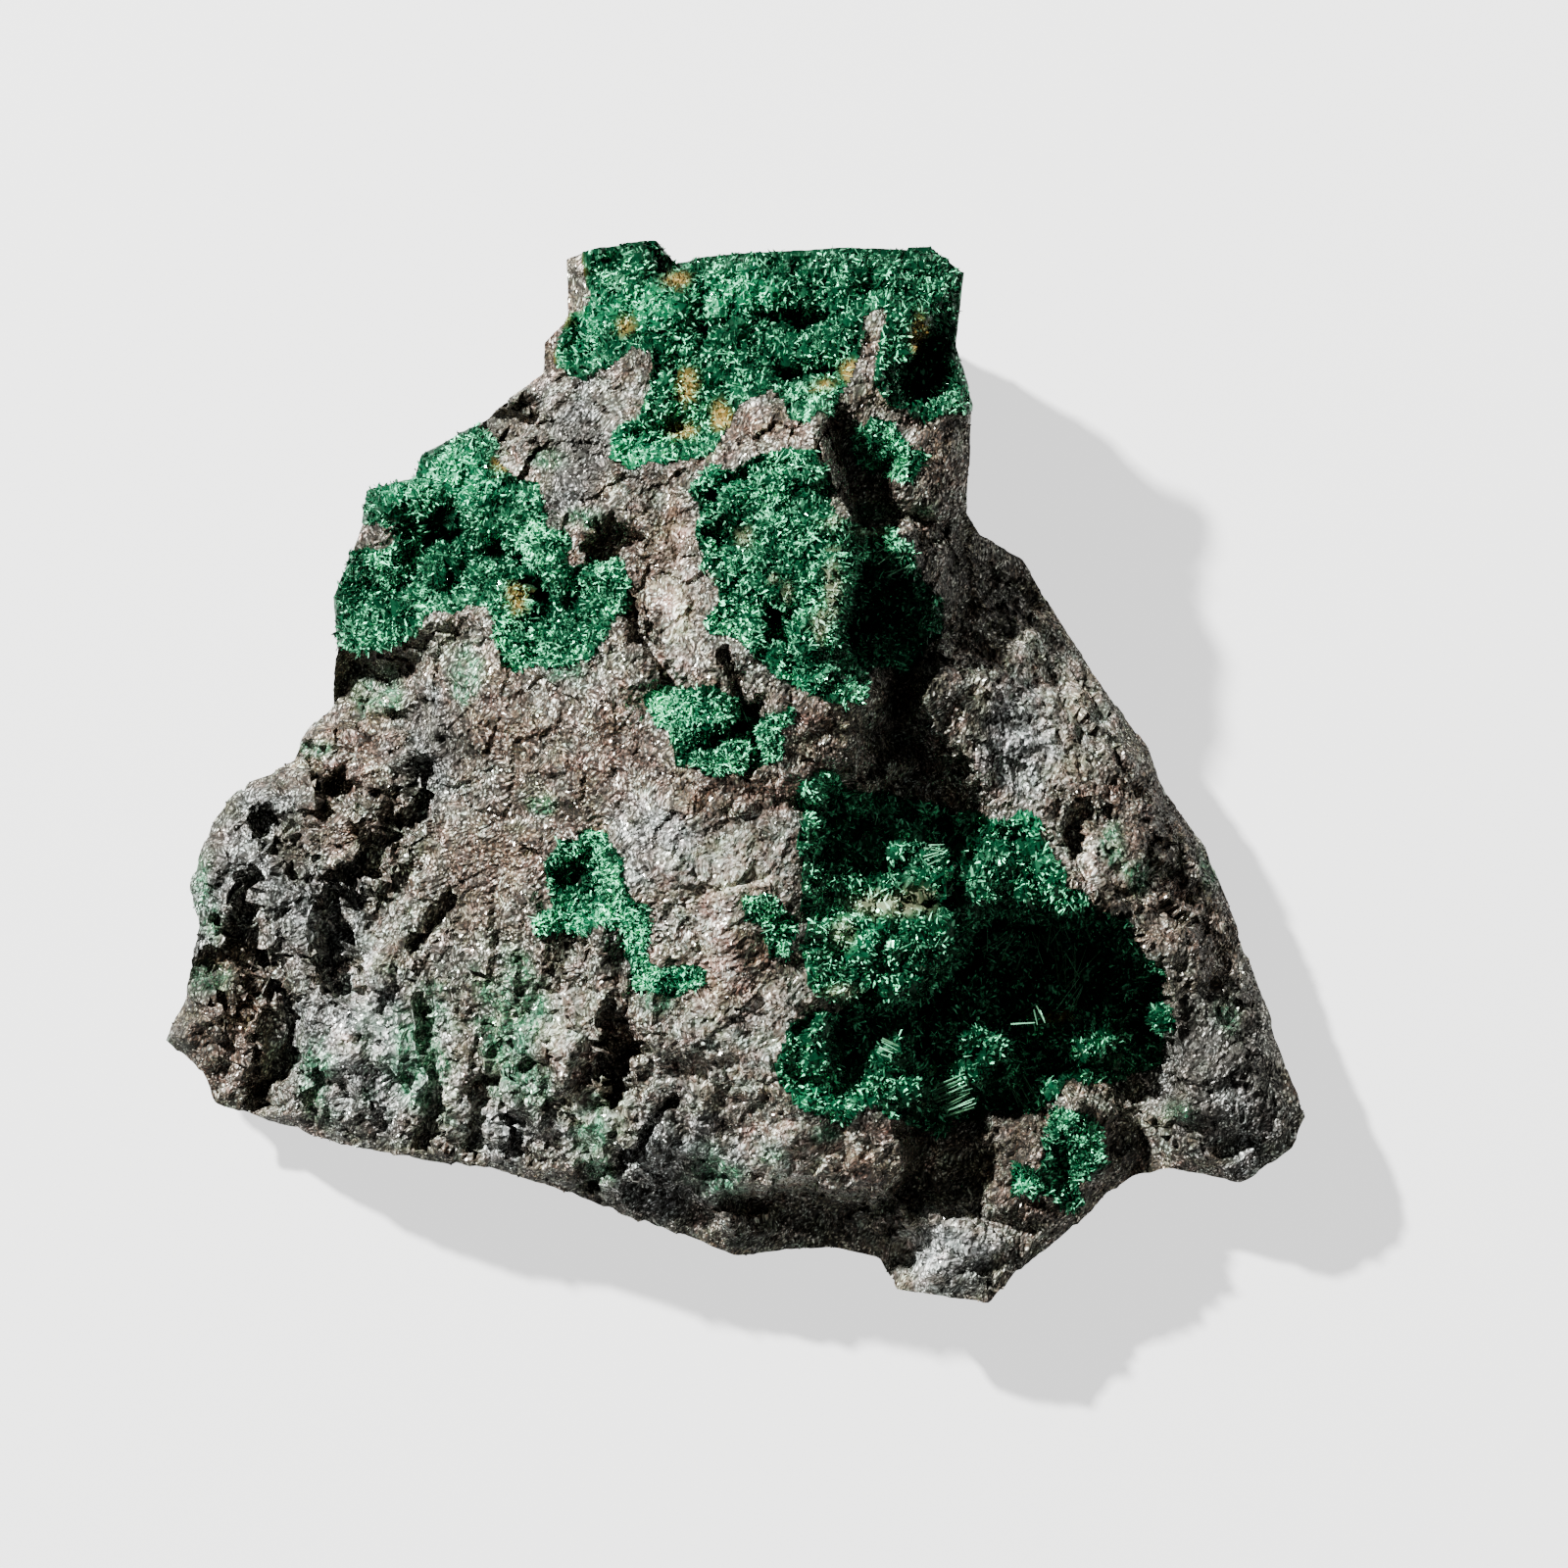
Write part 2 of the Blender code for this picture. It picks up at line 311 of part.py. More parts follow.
# ---- the display side's mesh -------------------------------------------------------------------------------
def side_points(first, last, count):
    """Points at even steps along the outline from one corner, clockwise, to another, with their heights."""
    flat = [point[:2] for point in OUTLINE]
    start, end = flat.index(first), flat.index(last)
    run = np.array((OUTLINE + OUTLINE)[start:end + 1 + (len(OUTLINE) if end <= start else 0)], float)
    length = np.concatenate([[0], np.cumsum(np.linalg.norm(np.diff(run[:, :2], axis=0), axis=1))])
    steps = np.linspace(0, length[-1], count + 1)
    return np.stack([np.interp(steps, length, run[:, axis]) for axis in range(3)], axis=-1)


def display_grid():
    """The mesh points of the display side, as x and y: the outline's four sides blended across each other."""
    top_left, top_right, low_right, low_left = CORNERS
    top = side_points(top_left, top_right, COLUMNS)[:, :2]
    right = side_points(top_right, low_right, ROWS)[::-1, :2]
    low = side_points(low_right, low_left, COLUMNS)[::-1, :2]
    left = side_points(low_left, top_left, ROWS)[:, :2]
    u = np.linspace(0, 1, COLUMNS + 1)[None, :, None]
    v = np.linspace(0, 1, ROWS + 1)[:, None, None]
    across = (1 - v) * low[None] + v * top[None]
    upward = (1 - u) * left[:, None] + u * right[:, None]
    corners = ((1 - u) * (1 - v) * low[0] + u * (1 - v) * low[-1]
               + (1 - u) * v * top[0] + u * v * top[-1])
    return across + upward - corners


def snapped_to_druses(grid):
    """The grid with its inner points near a druse's edge moved on to that edge."""
    inner = grid[1:-1, 1:-1].copy()
    cell = np.linalg.norm(np.diff(grid, axis=1), axis=-1)[1:-1, :-1].clip(0.5, 1.4)
    step = 0.01
    for outline in DRUSES.values():
        here = depth_inside(inner, outline)
        slope = np.stack([depth_inside(inner + [step, 0], outline) - here,
                          depth_inside(inner + [0, step], outline) - here], axis=-1) / step
        near = np.abs(here) < 0.36 * cell
        inner = np.where(near[..., None], inner - here[..., None] * slope, inner)
    snapped = grid.copy()
    snapped[1:-1, 1:-1] = inner
    return snapped


def new_object(name, mesh, material):
    """A named object for one piece, in the specimen's collection."""
    made = bpy.data.objects.new(name, mesh)
    made.data.materials.append(material)
    bpy.data.collections["brochantite_specimen"].objects.link(made)
    return made


def sheet_mesh(xy, height, cells=None):
    """A grid primitive with its points on the display side, and only the cells marked if any are.

    Each point keeps its place in the grid in the layer "place", which its copies in an extrusion share.
    """
    rows, columns = xy.shape[0] - 1, xy.shape[1] - 1
    work = bmesh.new()
    place = work.verts.layers.int.new("place")
    bmesh.ops.create_grid(work, x_segments=columns, y_segments=rows, size=1)
    for vert in work.verts:
        column, row = (round((part + 1) / 2 * count) for part, count in zip(vert.co, (columns, rows)))
        vert[place] = row * (columns + 1) + column
        vert.co = (*xy[row, column] * MM, height[row, column] * MM)
    if cells is not None:
        first = [min(vert[place] for vert in face.verts) for face in work.faces]
        loose = [face for face, number in zip(work.faces, first)
                 if not cells[number // (columns + 1), number % (columns + 1)]]
        bmesh.ops.delete(work, geom=loose, context="FACES")
    return work, place


def split_cells(work, place):
    """Cuts each four-cornered cell of the grid from its first corner to its last."""
    for face in list(work.faces):
        corners = sorted(face.verts, key=lambda vert: vert[place])
        if len({vert[place] for vert in corners}) == 4:
            bmesh.utils.face_split(face, corners[0], corners[-1])


def druse_cells(xy, outline):
    """Marks the grid's cells whose middles lie in a druse: one patch, with no cells that meet at a corner only."""
    middle = (xy[:-1, :-1] + xy[1:, :-1] + xy[:-1, 1:] + xy[1:, 1:]) / 4
    depth = depth_inside(middle, outline)
    marked = depth > 0
    for row, column in [*np.ndindex(ROWS - 1, COLUMNS - 1)] * 3:
        block = marked[row:row + 2, column:column + 2]
        if block.sum() == 2 and block[0, 0] == block[1, 1]:
            block[:] = True
    patch = depth == depth.max()
    for _ in range(ROWS + COLUMNS):
        patch[1:] |= patch[:-1]
        patch[:-1] |= patch[1:]
        patch[:, 1:] |= patch[:, :-1]
        patch[:, :-1] |= patch[:, 1:]
        patch &= marked
    return patch


def stone_material(name, colour, roughness, metallic):
    """A Principled material of one colour."""
    material = bpy.data.materials.new(name)
    material.use_nodes = True
    shader = material.node_tree.nodes["Principled BSDF"]
    shader.inputs["Base Color"].default_value = (*colour, 1)
    shader.inputs["Roughness"].default_value = roughness
    shader.inputs["Metallic"].default_value = metallic
    return material


def build_host_rock(xy, height, material):
    """The rock: the display side, a broken side wall in three breaks and the flat back it lies on."""
    work, place = sheet_mesh(xy, height)
    split_cells(work, place)
    middle = xy.mean(axis=(0, 1))
    loop = [edge for edge in work.edges if edge.is_boundary]
    for number, (down, width) in enumerate(BREAKS):
        grown = bmesh.ops.extrude_edge_only(work, edges=loop)
        loop = [item for item in grown["geom"] if isinstance(item, bmesh.types.BMEdge)]
        for vert in {vert for edge in loop for vert in edge.verts}:
            rim = xy.reshape(-1, 2)[vert[place]]
            uneven = 0.02 * ripple(rim, 8.0, SEED + number) * (down < 1)
            flat = middle + (rim - middle) * (width + min(uneven, 0))
            vert.co = (*flat * MM, height.flat[vert[place]] * (1 - down) * MM)
    bmesh.ops.contextual_create(work, geom=loop)
    bmesh.ops.recalc_face_normals(work, faces=work.faces)
    mesh = bpy.data.meshes.new("host_rock")
    work.to_mesh(mesh)
    work.free()
    return new_object("host_rock", mesh, material)


def build_druse(name, outline, xy, rock, display, material):
    """One druse: the rock's own cells under it lifted clear, thickened upwards, each with a crystal point."""
    lower = rock + CRUST_GAP
    upper = np.maximum(display, lower + CRUST_MIN)
    work, place = sheet_mesh(xy, lower, druse_cells(xy, outline))
    grown = bmesh.ops.extrude_face_region(work, geom=work.faces[:])
    for item in grown["geom"]:
        if isinstance(item, bmesh.types.BMVert):
            item.co.z = upper.flat[item[place]] * MM
    random = np.random.default_rng(SEED + len(outline))
    for item in grown["geom"]:
        if isinstance(item, bmesh.types.BMFace):
            rise = random.uniform(*CRYSTAL_RISE) * MM
            bmesh.ops.poke(work, faces=[item], offset=rise)
    split_cells(work, place)
    bmesh.ops.recalc_face_normals(work, faces=work.faces)
    mesh = bpy.data.meshes.new(f"druse_{name}")
    work.to_mesh(mesh)
    work.free()
    return new_object(f"druse_{name}", mesh, material)


def build_specimen():
    """Clears the scene and builds the host rock and its druses."""
    for old in list(bpy.data.objects):
        bpy.data.objects.remove(old)
    group = bpy.data.collections.new("brochantite_specimen")
    bpy.context.scene.collection.children.link(group)
    rock_material = stone_material("host_rock", (0.16, 0.14, 0.13), 0.55, 0.25)
    druse_material = stone_material("brochantite", (0.02, 0.30, 0.15), 0.25, 0.0)

    triangles = survey_triangles()
    xy = snapped_to_druses(display_grid())
    display = display_height(xy, triangles)
    rock = display.copy()
    for outline in DRUSES.values():
        rock = rock - CRUST_DEPTH * smooth_step(depth_inside(xy, outline) / CRUST_SLOPE)
    build_host_rock(xy, rock, rock_material)
    for name, outline in DRUSES.items():
        build_druse(name, outline, xy, rock, display, druse_material)


build_specimen()
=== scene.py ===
"""A brochantite specimen: a broken lump of granular, iron-rich rock with druses of green crystals.

It lies on its flat back with its crystal side up. Tables are in millimetres, in the frame's own axes.
"""

import itertools

import bpy
import numpy as np
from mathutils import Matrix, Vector
from mathutils.geometry import delaunay_2d_cdt


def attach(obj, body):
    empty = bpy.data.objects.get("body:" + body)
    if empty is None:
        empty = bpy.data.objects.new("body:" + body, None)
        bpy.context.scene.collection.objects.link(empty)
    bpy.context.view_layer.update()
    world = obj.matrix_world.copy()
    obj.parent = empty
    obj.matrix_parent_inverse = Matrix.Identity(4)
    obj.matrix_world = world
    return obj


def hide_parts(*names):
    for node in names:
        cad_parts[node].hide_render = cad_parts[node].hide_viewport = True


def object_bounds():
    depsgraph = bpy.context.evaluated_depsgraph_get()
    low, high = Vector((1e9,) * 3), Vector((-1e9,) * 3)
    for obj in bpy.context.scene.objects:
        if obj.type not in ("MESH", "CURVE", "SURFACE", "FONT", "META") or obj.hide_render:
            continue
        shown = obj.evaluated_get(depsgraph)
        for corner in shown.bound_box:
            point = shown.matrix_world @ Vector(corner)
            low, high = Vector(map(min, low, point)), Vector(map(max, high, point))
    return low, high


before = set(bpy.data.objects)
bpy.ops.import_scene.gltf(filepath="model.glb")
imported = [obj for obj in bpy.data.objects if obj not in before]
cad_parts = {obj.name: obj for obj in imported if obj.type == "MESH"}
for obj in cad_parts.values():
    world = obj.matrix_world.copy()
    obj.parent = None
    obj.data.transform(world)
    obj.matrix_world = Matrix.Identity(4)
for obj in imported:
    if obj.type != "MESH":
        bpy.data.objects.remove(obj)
cad_low, cad_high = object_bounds()

# ====================================================================================================
# View, floor and light. The camera looks straight down on the display side from far off, as on a copy stand.
# One soft lamp stands low at the upper left, so that the relief throws long shadows to the lower right.
# ====================================================================================================
MM = 0.001
VIEW_WIDTH = 123.08 * MM
VIEW_CENTRE = Vector((3.85 * MM, -0.73 * MM, 18 * MM))
VIEW_DISTANCE = 1.5
SENSOR_WIDTH = 36
SIGHT_LIMIT = 20

camera = bpy.data.objects.new("camera", bpy.data.cameras.new("camera"))
camera.data.sensor_width = SENSOR_WIDTH
camera.data.lens = SENSOR_WIDTH * VIEW_DISTANCE / VIEW_WIDTH
camera.data.clip_end = SIGHT_LIMIT
camera.location = VIEW_CENTRE + Vector((0, 0, VIEW_DISTANCE))
bpy.context.scene.collection.objects.link(camera)
bpy.context.scene.camera = camera

LAMP_BEARING, LAMP_ELEVATION = np.radians((135, 42))        # from +X, and up from the floor
LAMP_DISTANCE = 1.4
LAMP_SIZE = 0.06
LAMP_POWER = 165
LAMP_AWAY = Vector((np.cos(LAMP_BEARING) * np.cos(LAMP_ELEVATION),
                    np.sin(LAMP_BEARING) * np.cos(LAMP_ELEVATION), np.sin(LAMP_ELEVATION)))

lamp = bpy.data.objects.new("key", bpy.data.lights.new("key", "AREA"))
lamp.data.shape = "SQUARE"
lamp.data.size = LAMP_SIZE
lamp.data.energy = LAMP_POWER
lamp.location = VIEW_CENTRE + LAMP_AWAY * LAMP_DISTANCE
lamp.rotation_euler = LAMP_AWAY.to_track_quat("Z", "Y").to_euler()
bpy.context.scene.collection.objects.link(lamp)

SKY_STRENGTH = 0.16

world = bpy.data.worlds.new("studio")
world.use_nodes = True
sky = world.node_tree.nodes["Background"]
sky.inputs["Color"].default_value = (1, 1, 1, 1)
sky.inputs["Strength"].default_value = SKY_STRENGTH
bpy.context.scene.world = world

FLOOR_REACH = 3.0
FLOOR_COLOUR = (0.36, 0.36, 0.355, 1)
FLOOR_ROUGHNESS = 0.8
FLOOR_GLOW = 1.4            # only the camera sees this, so it lights nothing

floor_corners = [(x * FLOOR_REACH, y * FLOOR_REACH, 0) for x, y in ((-1, -1), (1, -1), (1, 1), (-1, 1))]
floor_mesh = bpy.data.meshes.new("floor")
floor_mesh.from_pydata(floor_corners, [], [(0, 1, 2, 3)])
floor = bpy.data.objects.new("floor", floor_mesh)
bpy.context.scene.collection.objects.link(floor)
floor_material = bpy.data.materials.new("floor")
floor_material.use_nodes = True
floor_tree = floor_material.node_tree
floor_shader = floor_tree.nodes["Principled BSDF"]
floor_shader.inputs["Base Color"].default_value = FLOOR_COLOUR
floor_shader.inputs["Roughness"].default_value = FLOOR_ROUGHNESS
floor_shader.inputs["Emission Color"].default_value = (1, 1, 1, 1)
floor_glow = floor_tree.nodes.new("ShaderNodeMath")
floor_glow.operation = "MULTIPLY"
floor_glow.inputs[1].default_value = FLOOR_GLOW
seen = floor_tree.nodes.new("ShaderNodeLightPath")
floor_tree.links.new(seen.outputs["Is Camera Ray"], floor_glow.inputs[0])
floor_tree.links.new(floor_glow.outputs["Value"], floor_shader.inputs["Emission Strength"])
floor_mesh.materials.append(floor_material)

# ====================================================================================================
# Host rock: one broken lump of dark granular rock, rich in iron. Its display side is a fracture face with
# hollows and cracks, its sides are broken too, and it lies on a flat back.
# ====================================================================================================
# Its outline, clockwise from the top left corner: x, y and the height at which the side wall starts.
OUTLINE = [
    (-13.1, 40.2, 27), (-10.5, 41.0, 28), (-6.3, 41.7, 28), (-4.6, 39.9, 28), (0.0, 40.6, 28.5),
    (8.0, 41.0, 28.5), (15.5, 41.0, 27), (17.8, 39.2, 26), (17.2, 33.5, 25), (18.5, 29.0, 25),
    (18.1, 20.4, 23.5), (19.3, 18.8, 18), (22.5, 17.0, 12), (25.2, 12.8, 11), (28.5, 7.5, 12),
    (32.5, 2.0, 11), (34.0, -1.5, 9), (37.0, -5.5, 9), (40.0, -13.0, 9), (41.6, -17.5, 9),
    (43.5, -23.2, 11), (45.0, -27.0, 10), (43.8, -29.5, 10), (40.0, -32.2, 9.5), (34.5, -31.1, 9),
    (31.5, -31.5, 7), (27.5, -35.0, 9), (22.0, -39.5, 10), (20.0, -41.7, 10.5), (15.0, -41.0, 11),
    (12.8, -40.6, 10), (11.4, -38.2, 6), (8.0, -37.4, 6), (4.0, -37.6, 6), (0.0, -38.0, 9),
    (-7.0, -35.2, 11), (-12.5, -33.2, 12), (-19.5, -30.8, 12), (-27.0, -30.0, 12), (-34.0, -28.2, 9.5),
    (-38.5, -26.8, 6), (-41.0, -26.0, 6.5), (-42.0, -23.5, 8), (-45.0, -21.0, 8), (-43.5, -17.5, 8),
    (-42.3, -12.0, 11), (-43.0, -8.0, 10), (-41.0, -3.2, 9), (-38.4, -0.5, 10), (-34.7, 1.3, 11),
    (-34.0, 3.3, 11), (-31.8, 5.5, 12), (-31.2, 10.0, 17), (-31.4, 14.0, 19), (-29.2, 19.5, 21),
    (-28.8, 22.3, 21), (-25.0, 23.2, 22), (-24.5, 25.0, 22), (-20.0, 27.5, 22), (-17.8, 29.3, 23),
    (-15.0, 31.3, 25), (-14.9, 33.8, 26), (-13.0, 35.5, 27),
]
OUTLINE_XY = [point[:2] for point in OUTLINE]
# Its four corners: top left, top right, lower right and lower left.
CORNERS = ((-13.1, 40.2), (17.8, 39.2), (45.0, -27.0), (-45.0, -21.0))

# Creases of the display side, each a run of x, y and height.
CREASES = [
    # crest, its foot, the neck's edge and the valley on the right
    [(3.5, 27.0, 34), (6.2, 27.3, 35.3), (5.9, 25.0, 36), (6.3, 22.4, 36.5), (7.8, 20.4, 36.5),
     (8.4, 17.0, 36.5), (7.9, 13.5, 36), (6.9, 10.2, 35), (7.4, 7.8, 33.5), (9.2, 5.5, 32),
     (8.7, 3.0, 31), (8.7, 0.5, 29.5)],
    [(7.3, 28.6, 31), (7.3, 25.6, 28), (7.8, 22.9, 26.5), (9.4, 20.6, 26.5), (10.2, 17.6, 28.5),
     (9.6, 13.8, 28), (9.2, 10.6, 28), (10.2, 8.4, 28)],
    [(12.8, 20.2, 25), (10.6, 22.3, 26), (9.0, 25.4, 27.5)],
    [(9.2, 27.6, 30.5), (10.2, 25.4, 29.5), (12.6, 23.0, 29.3), (15.2, 20.8, 27.6)],
    [(16.6, 15.5, 21), (16.2, 12.0, 20.5), (13.6, 8.4, 21), (12.8, 4.4, 20), (14.2, 0.5, 19),
     (17.4, -2.4, 18.5)],
    # left edge of the right slope
    [(19.0, 7.5, 22.5), (17.2, 6.0, 24.8), (15.2, 7.4, 26.3), (14.9, 5.2, 26.2), (16.5, 2.6, 24.2),
     (18.4, 1.2, 22.8), (19.8, -1.2, 21)],
    # both edges of the right crack
    [(32.6, 0.4, 12.5), (30.0, -0.3, 16.5), (27.0, -1.0, 18)],
    [(33.0, -0.9, 11.5), (30.0, -1.2, 16), (27.6, -1.7, 18.5)],
    # great hollow: right rim, right foot, right shelf, left rim and left foot
    [(21.0, -2.3, 20.5), (25.0, -7.2, 20.5), (29.0, -9.3, 19.5), (32.0, -12.6, 18), (34.2, -17.5, 17),
     (35.2, -22.0, 16), (34.7, -26.0, 15)],
    [(21.6, -10.6, 8.5), (25.2, -10.8, 7), (28.4, -11.4, 6), (31.0, -14.0, 5), (33.0, -18.2, 4.5),
     (33.9, -22.0, 4.5), (33.4, -25.4, 5)],
    [(19.2, -5.0, 20), (20.8, -8.9, 21.8), (24.6, -9.2, 19)],
    [(4.7, -2.0, 28.5), (4.7, -8.0, 27.5), (4.6, -14.0, 26), (7.4, -17.2, 25)],
    [(7.0, -2.6, 22.5), (7.0, -5.0, 24)],
    # the ledge that parts its two bowls: top, lower edge and foot
    [(6.4, -11.0, 24.5), (9.0, -11.5, 24), (13.0, -10.5, 24.2), (16.8, -9.2, 25.5)],
    [(9.0, -17.4, 23), (11.5, -16.4, 22.4), (14.6, -14.2, 22.3), (17.4, -11.0, 22.5)],
    [(9.6, -18.9, 17.5), (13.0, -18.0, 12), (16.6, -15.4, 8.5), (19.0, -12.0, 8)],
    # the lip at the lower edge and the recess under it
    [(1.2, -31.8, 17), (3.6, -31.9, 18), (6.0, -31.6, 18), (8.5, -33.0, 17), (11.0, -32.4, 17.5),
     (13.0, -30.0, 18.5), (12.6, -27.8, 19.5)],
    [(1.8, -33.4, 9), (6.0, -33.2, 9), (9.0, -34.6, 8.5), (12.3, -33.6, 8.5), (14.6, -30.6, 9),
     (14.4, -28.2, 10)],
    # left druse: lower edge, and the drop below it
    [(-30.6, 10.6, 18.5), (-27.0, 10.1, 21), (-24.5, 11.0, 23.5), (-23.0, 12.0, 25)],
    [(-30.2, 8.8, 13), (-27.0, 7.8, 15), (-24.5, 9.0, 19), (-22.6, 10.6, 22.5)],
    # left gully and its banks, and the lobe outside it
    [(-39.6, -12.6, 6.5), (-37.6, -14.6, 5.5), (-36.0, -17.6, 5), (-35.6, -21.0, 5), (-36.4, -25.6, 4.5)],
    [(-41.2, -10.6, 12), (-40.4, -14.4, 11.5), (-38.8, -17.4, 11.5), (-38.4, -21.0, 9.5), (-38.8, -24.4, 8)],
    [(-37.0, -11.6, 15), (-34.9, -15.0, 15.5), (-34.0, -19.0, 14.5), (-34.2, -23.0, 14),
     (-34.9, -26.6, 11.5)],
    [(-44.0, -20.6, 9.5), (-41.6, -18.6, 11.8)],
    # foot: its upper edge and the drop behind it
    [(12.9, -34.8, 13.5), (15.4, -35.0, 14.5), (18.8, -36.2, 14), (21.4, -37.6, 12.5)],
    [(13.6, -33.6, 9), (16.4, -33.8, 9), (19.8, -35.0, 10), (22.6, -36.4, 11)],
]

# Single heights between the creases: x, y and height.
SPOTS = [
    # top block
    (-11, 38, 28.5), (-2, 37, 29.5), (6, 38, 29.5), (14.0, 38.2, 28), (15.0, 33, 28), (15.4, 28, 28.5),
    (15.8, 23.5, 28), (-12, 34, 28.5), (-5, 30, 30), (1, 31, 31), (5, 32, 30.5), (10, 32, 30),
    (11, 28.6, 30.6), (16.4, 19.6, 24.2),
    # grey block and left shoulder
    (-14.6, 30, 28), (-11.5, 31.5, 30), (-9.4, 32.6, 31), (-8.0, 29, 31.5), (-9.2, 25, 32),
    (-8.2, 21.2, 32.5), (-10.4, 20, 31.5), (-13.2, 18.8, 30.5), (-14.9, 22, 29.5), (-14.8, 26, 29),
    (-22, 25, 24.5), (-19, 25, 25), (-17, 24, 27), (-27, 21, 24), (-22, 21, 25), (-17, 20, 27),
    (-28.5, 14, 21.5), (-28, 11.6, 21), (-23, 14.5, 24.5), (-18, 15, 27), (-12, 14, 30), (-9.6, 14, 31),
    (-10, 10.5, 31), (-14, 9, 29.5), (-18, 10, 28), (-20.6, 12, 26.5),
    # broad face
    (-3, 24, 33), (-7, 22.6, 31.5), (-5, 15, 32), (-2, 12, 33.5), (-3, 8, 33), (0, 2, 32), (5, 3, 31.8),
    (-5, -5, 30), (2, -8, 28.8), (0, -15, 27), (-3, -20, 25), (1, -25, 22.5), (-10, 5, 30), (-15, 5, 28),
    (-15, -5, 26), (-20, 3, 26), (-20, -8, 23.5), (-10, -10, 27.5), (-15, -15, 23.5), (-10, -17.6, 25),
    (-12.4, -22, 21.5), (-20, -18, 20.5), (-5, -28, 20), (-10, -30, 16.5), (-18, -28, 15.5),
    (-1, -33, 15), (-4, -34, 13), (0.2, -36.4, 11),
    # lower left
    (-25, -12, 20.5), (-28, -15, 19.5), (-25, -22, 17.5), (-30, -22, 16.5), (-28, -27, 13.5),
    (-33, -12, 18), (-35, -9, 17.5), (-38, -6, 15), (-36, -2, 15), (-30, -2, 19), (-30, 3, 17),
    (-25, 1, 21.5), (-27, 5.6, 19), (-22.6, 8, 24), (-41, -7, 12), (-42, -15, 9.5), (-40.8, -23.6, 7.5),
    # crest's flank and right slope
    (12.2, 18.2, 30), (12.0, 13.5, 26), (14.6, 15.6, 26.5), (14.6, 11, 23.5), (11.6, 8.6, 26.5),
    (19.5, 15, 16.6), (22, 14, 13.4), (24.4, 10.8, 14.6), (22.4, 9.6, 18.5), (20.4, 8.4, 20.8),
    (22, 5, 21.2), (27, 4, 18), (30.6, 2.2, 15), (21.6, 1, 21.4), (24.5, -1, 20), (26.2, -6.4, 19.2),
    (28.4, -4, 18.8), (33, -5, 16), (35.8, -7, 12), (31.0, -8.6, 18), (34.6, -12, 16.5), (38, -13, 11.5),
    (36.6, -17, 16), (38.6, -18.6, 15), (41, -21, 13), (37.4, -22, 15.5), (40, -25, 14),
    (36.6, -27, 14.5), (41, -28.4, 12), (37, -30, 12),
    # great hollow
    (9.6, -2.6, 23.5), (13.4, -2.8, 23.3), (11, -5.4, 24.6), (15, -5, 23.2), (11, -8.0, 23),
    (15.4, -7.2, 22), (18.2, -6.0, 20.5), (23.0, -6.0, 20), (23, -14, 6), (26, -15.6, 5.5),
    (29.6, -19.4, 4.5), (31.6, -23, 4.5), (30.8, -25.4, 5), (29.4, -24, 5.5), (23.4, -25.6, 8.5),
    (25.6, -23.6, 8), (20, -25.4, 9), (16, -26, 12), (12, -21, 20.2), (10.0, -20.2, 19.8),
    (13.6, -23.5, 18), (18.6, -19.6, 17.5), (20.2, -21.4, 17), (21.2, -17.0, 8.5), (22.4, -20.6, 8),
    (24.4, -20.2, 12), (27.8, -21.6, 12), (26.2, -21.2, 7.5), (27.6, -23.6, 7), (26.6, -19.4, 6),
    (16.0, -20.4, 10.5), (16.2, -18.4, 9.5), (5.4, -19.4, 24.5), (3.2, -22.6, 24), (5.4, -26, 22),
    (9, -26.6, 20.5),
    # lower right and foot
    (32.4, -28.2, 8.5), (29.4, -27.0, 12), (26.6, -26.8, 15.2), (24, -30, 15.5), (27.4, -31, 14),
    (22.4, -32.4, 14.5), (26, -33.8, 11.5), (21, -28.6, 14), (17.6, -29, 9), (19.0, -32.4, 8),
    (11.8, -36.6, 7), (4, -36.2, 7), (8, -36, 7), (16, -38.0, 13), (19, -39.0, 12.5), (24.4, -35.6, 11.5),
]

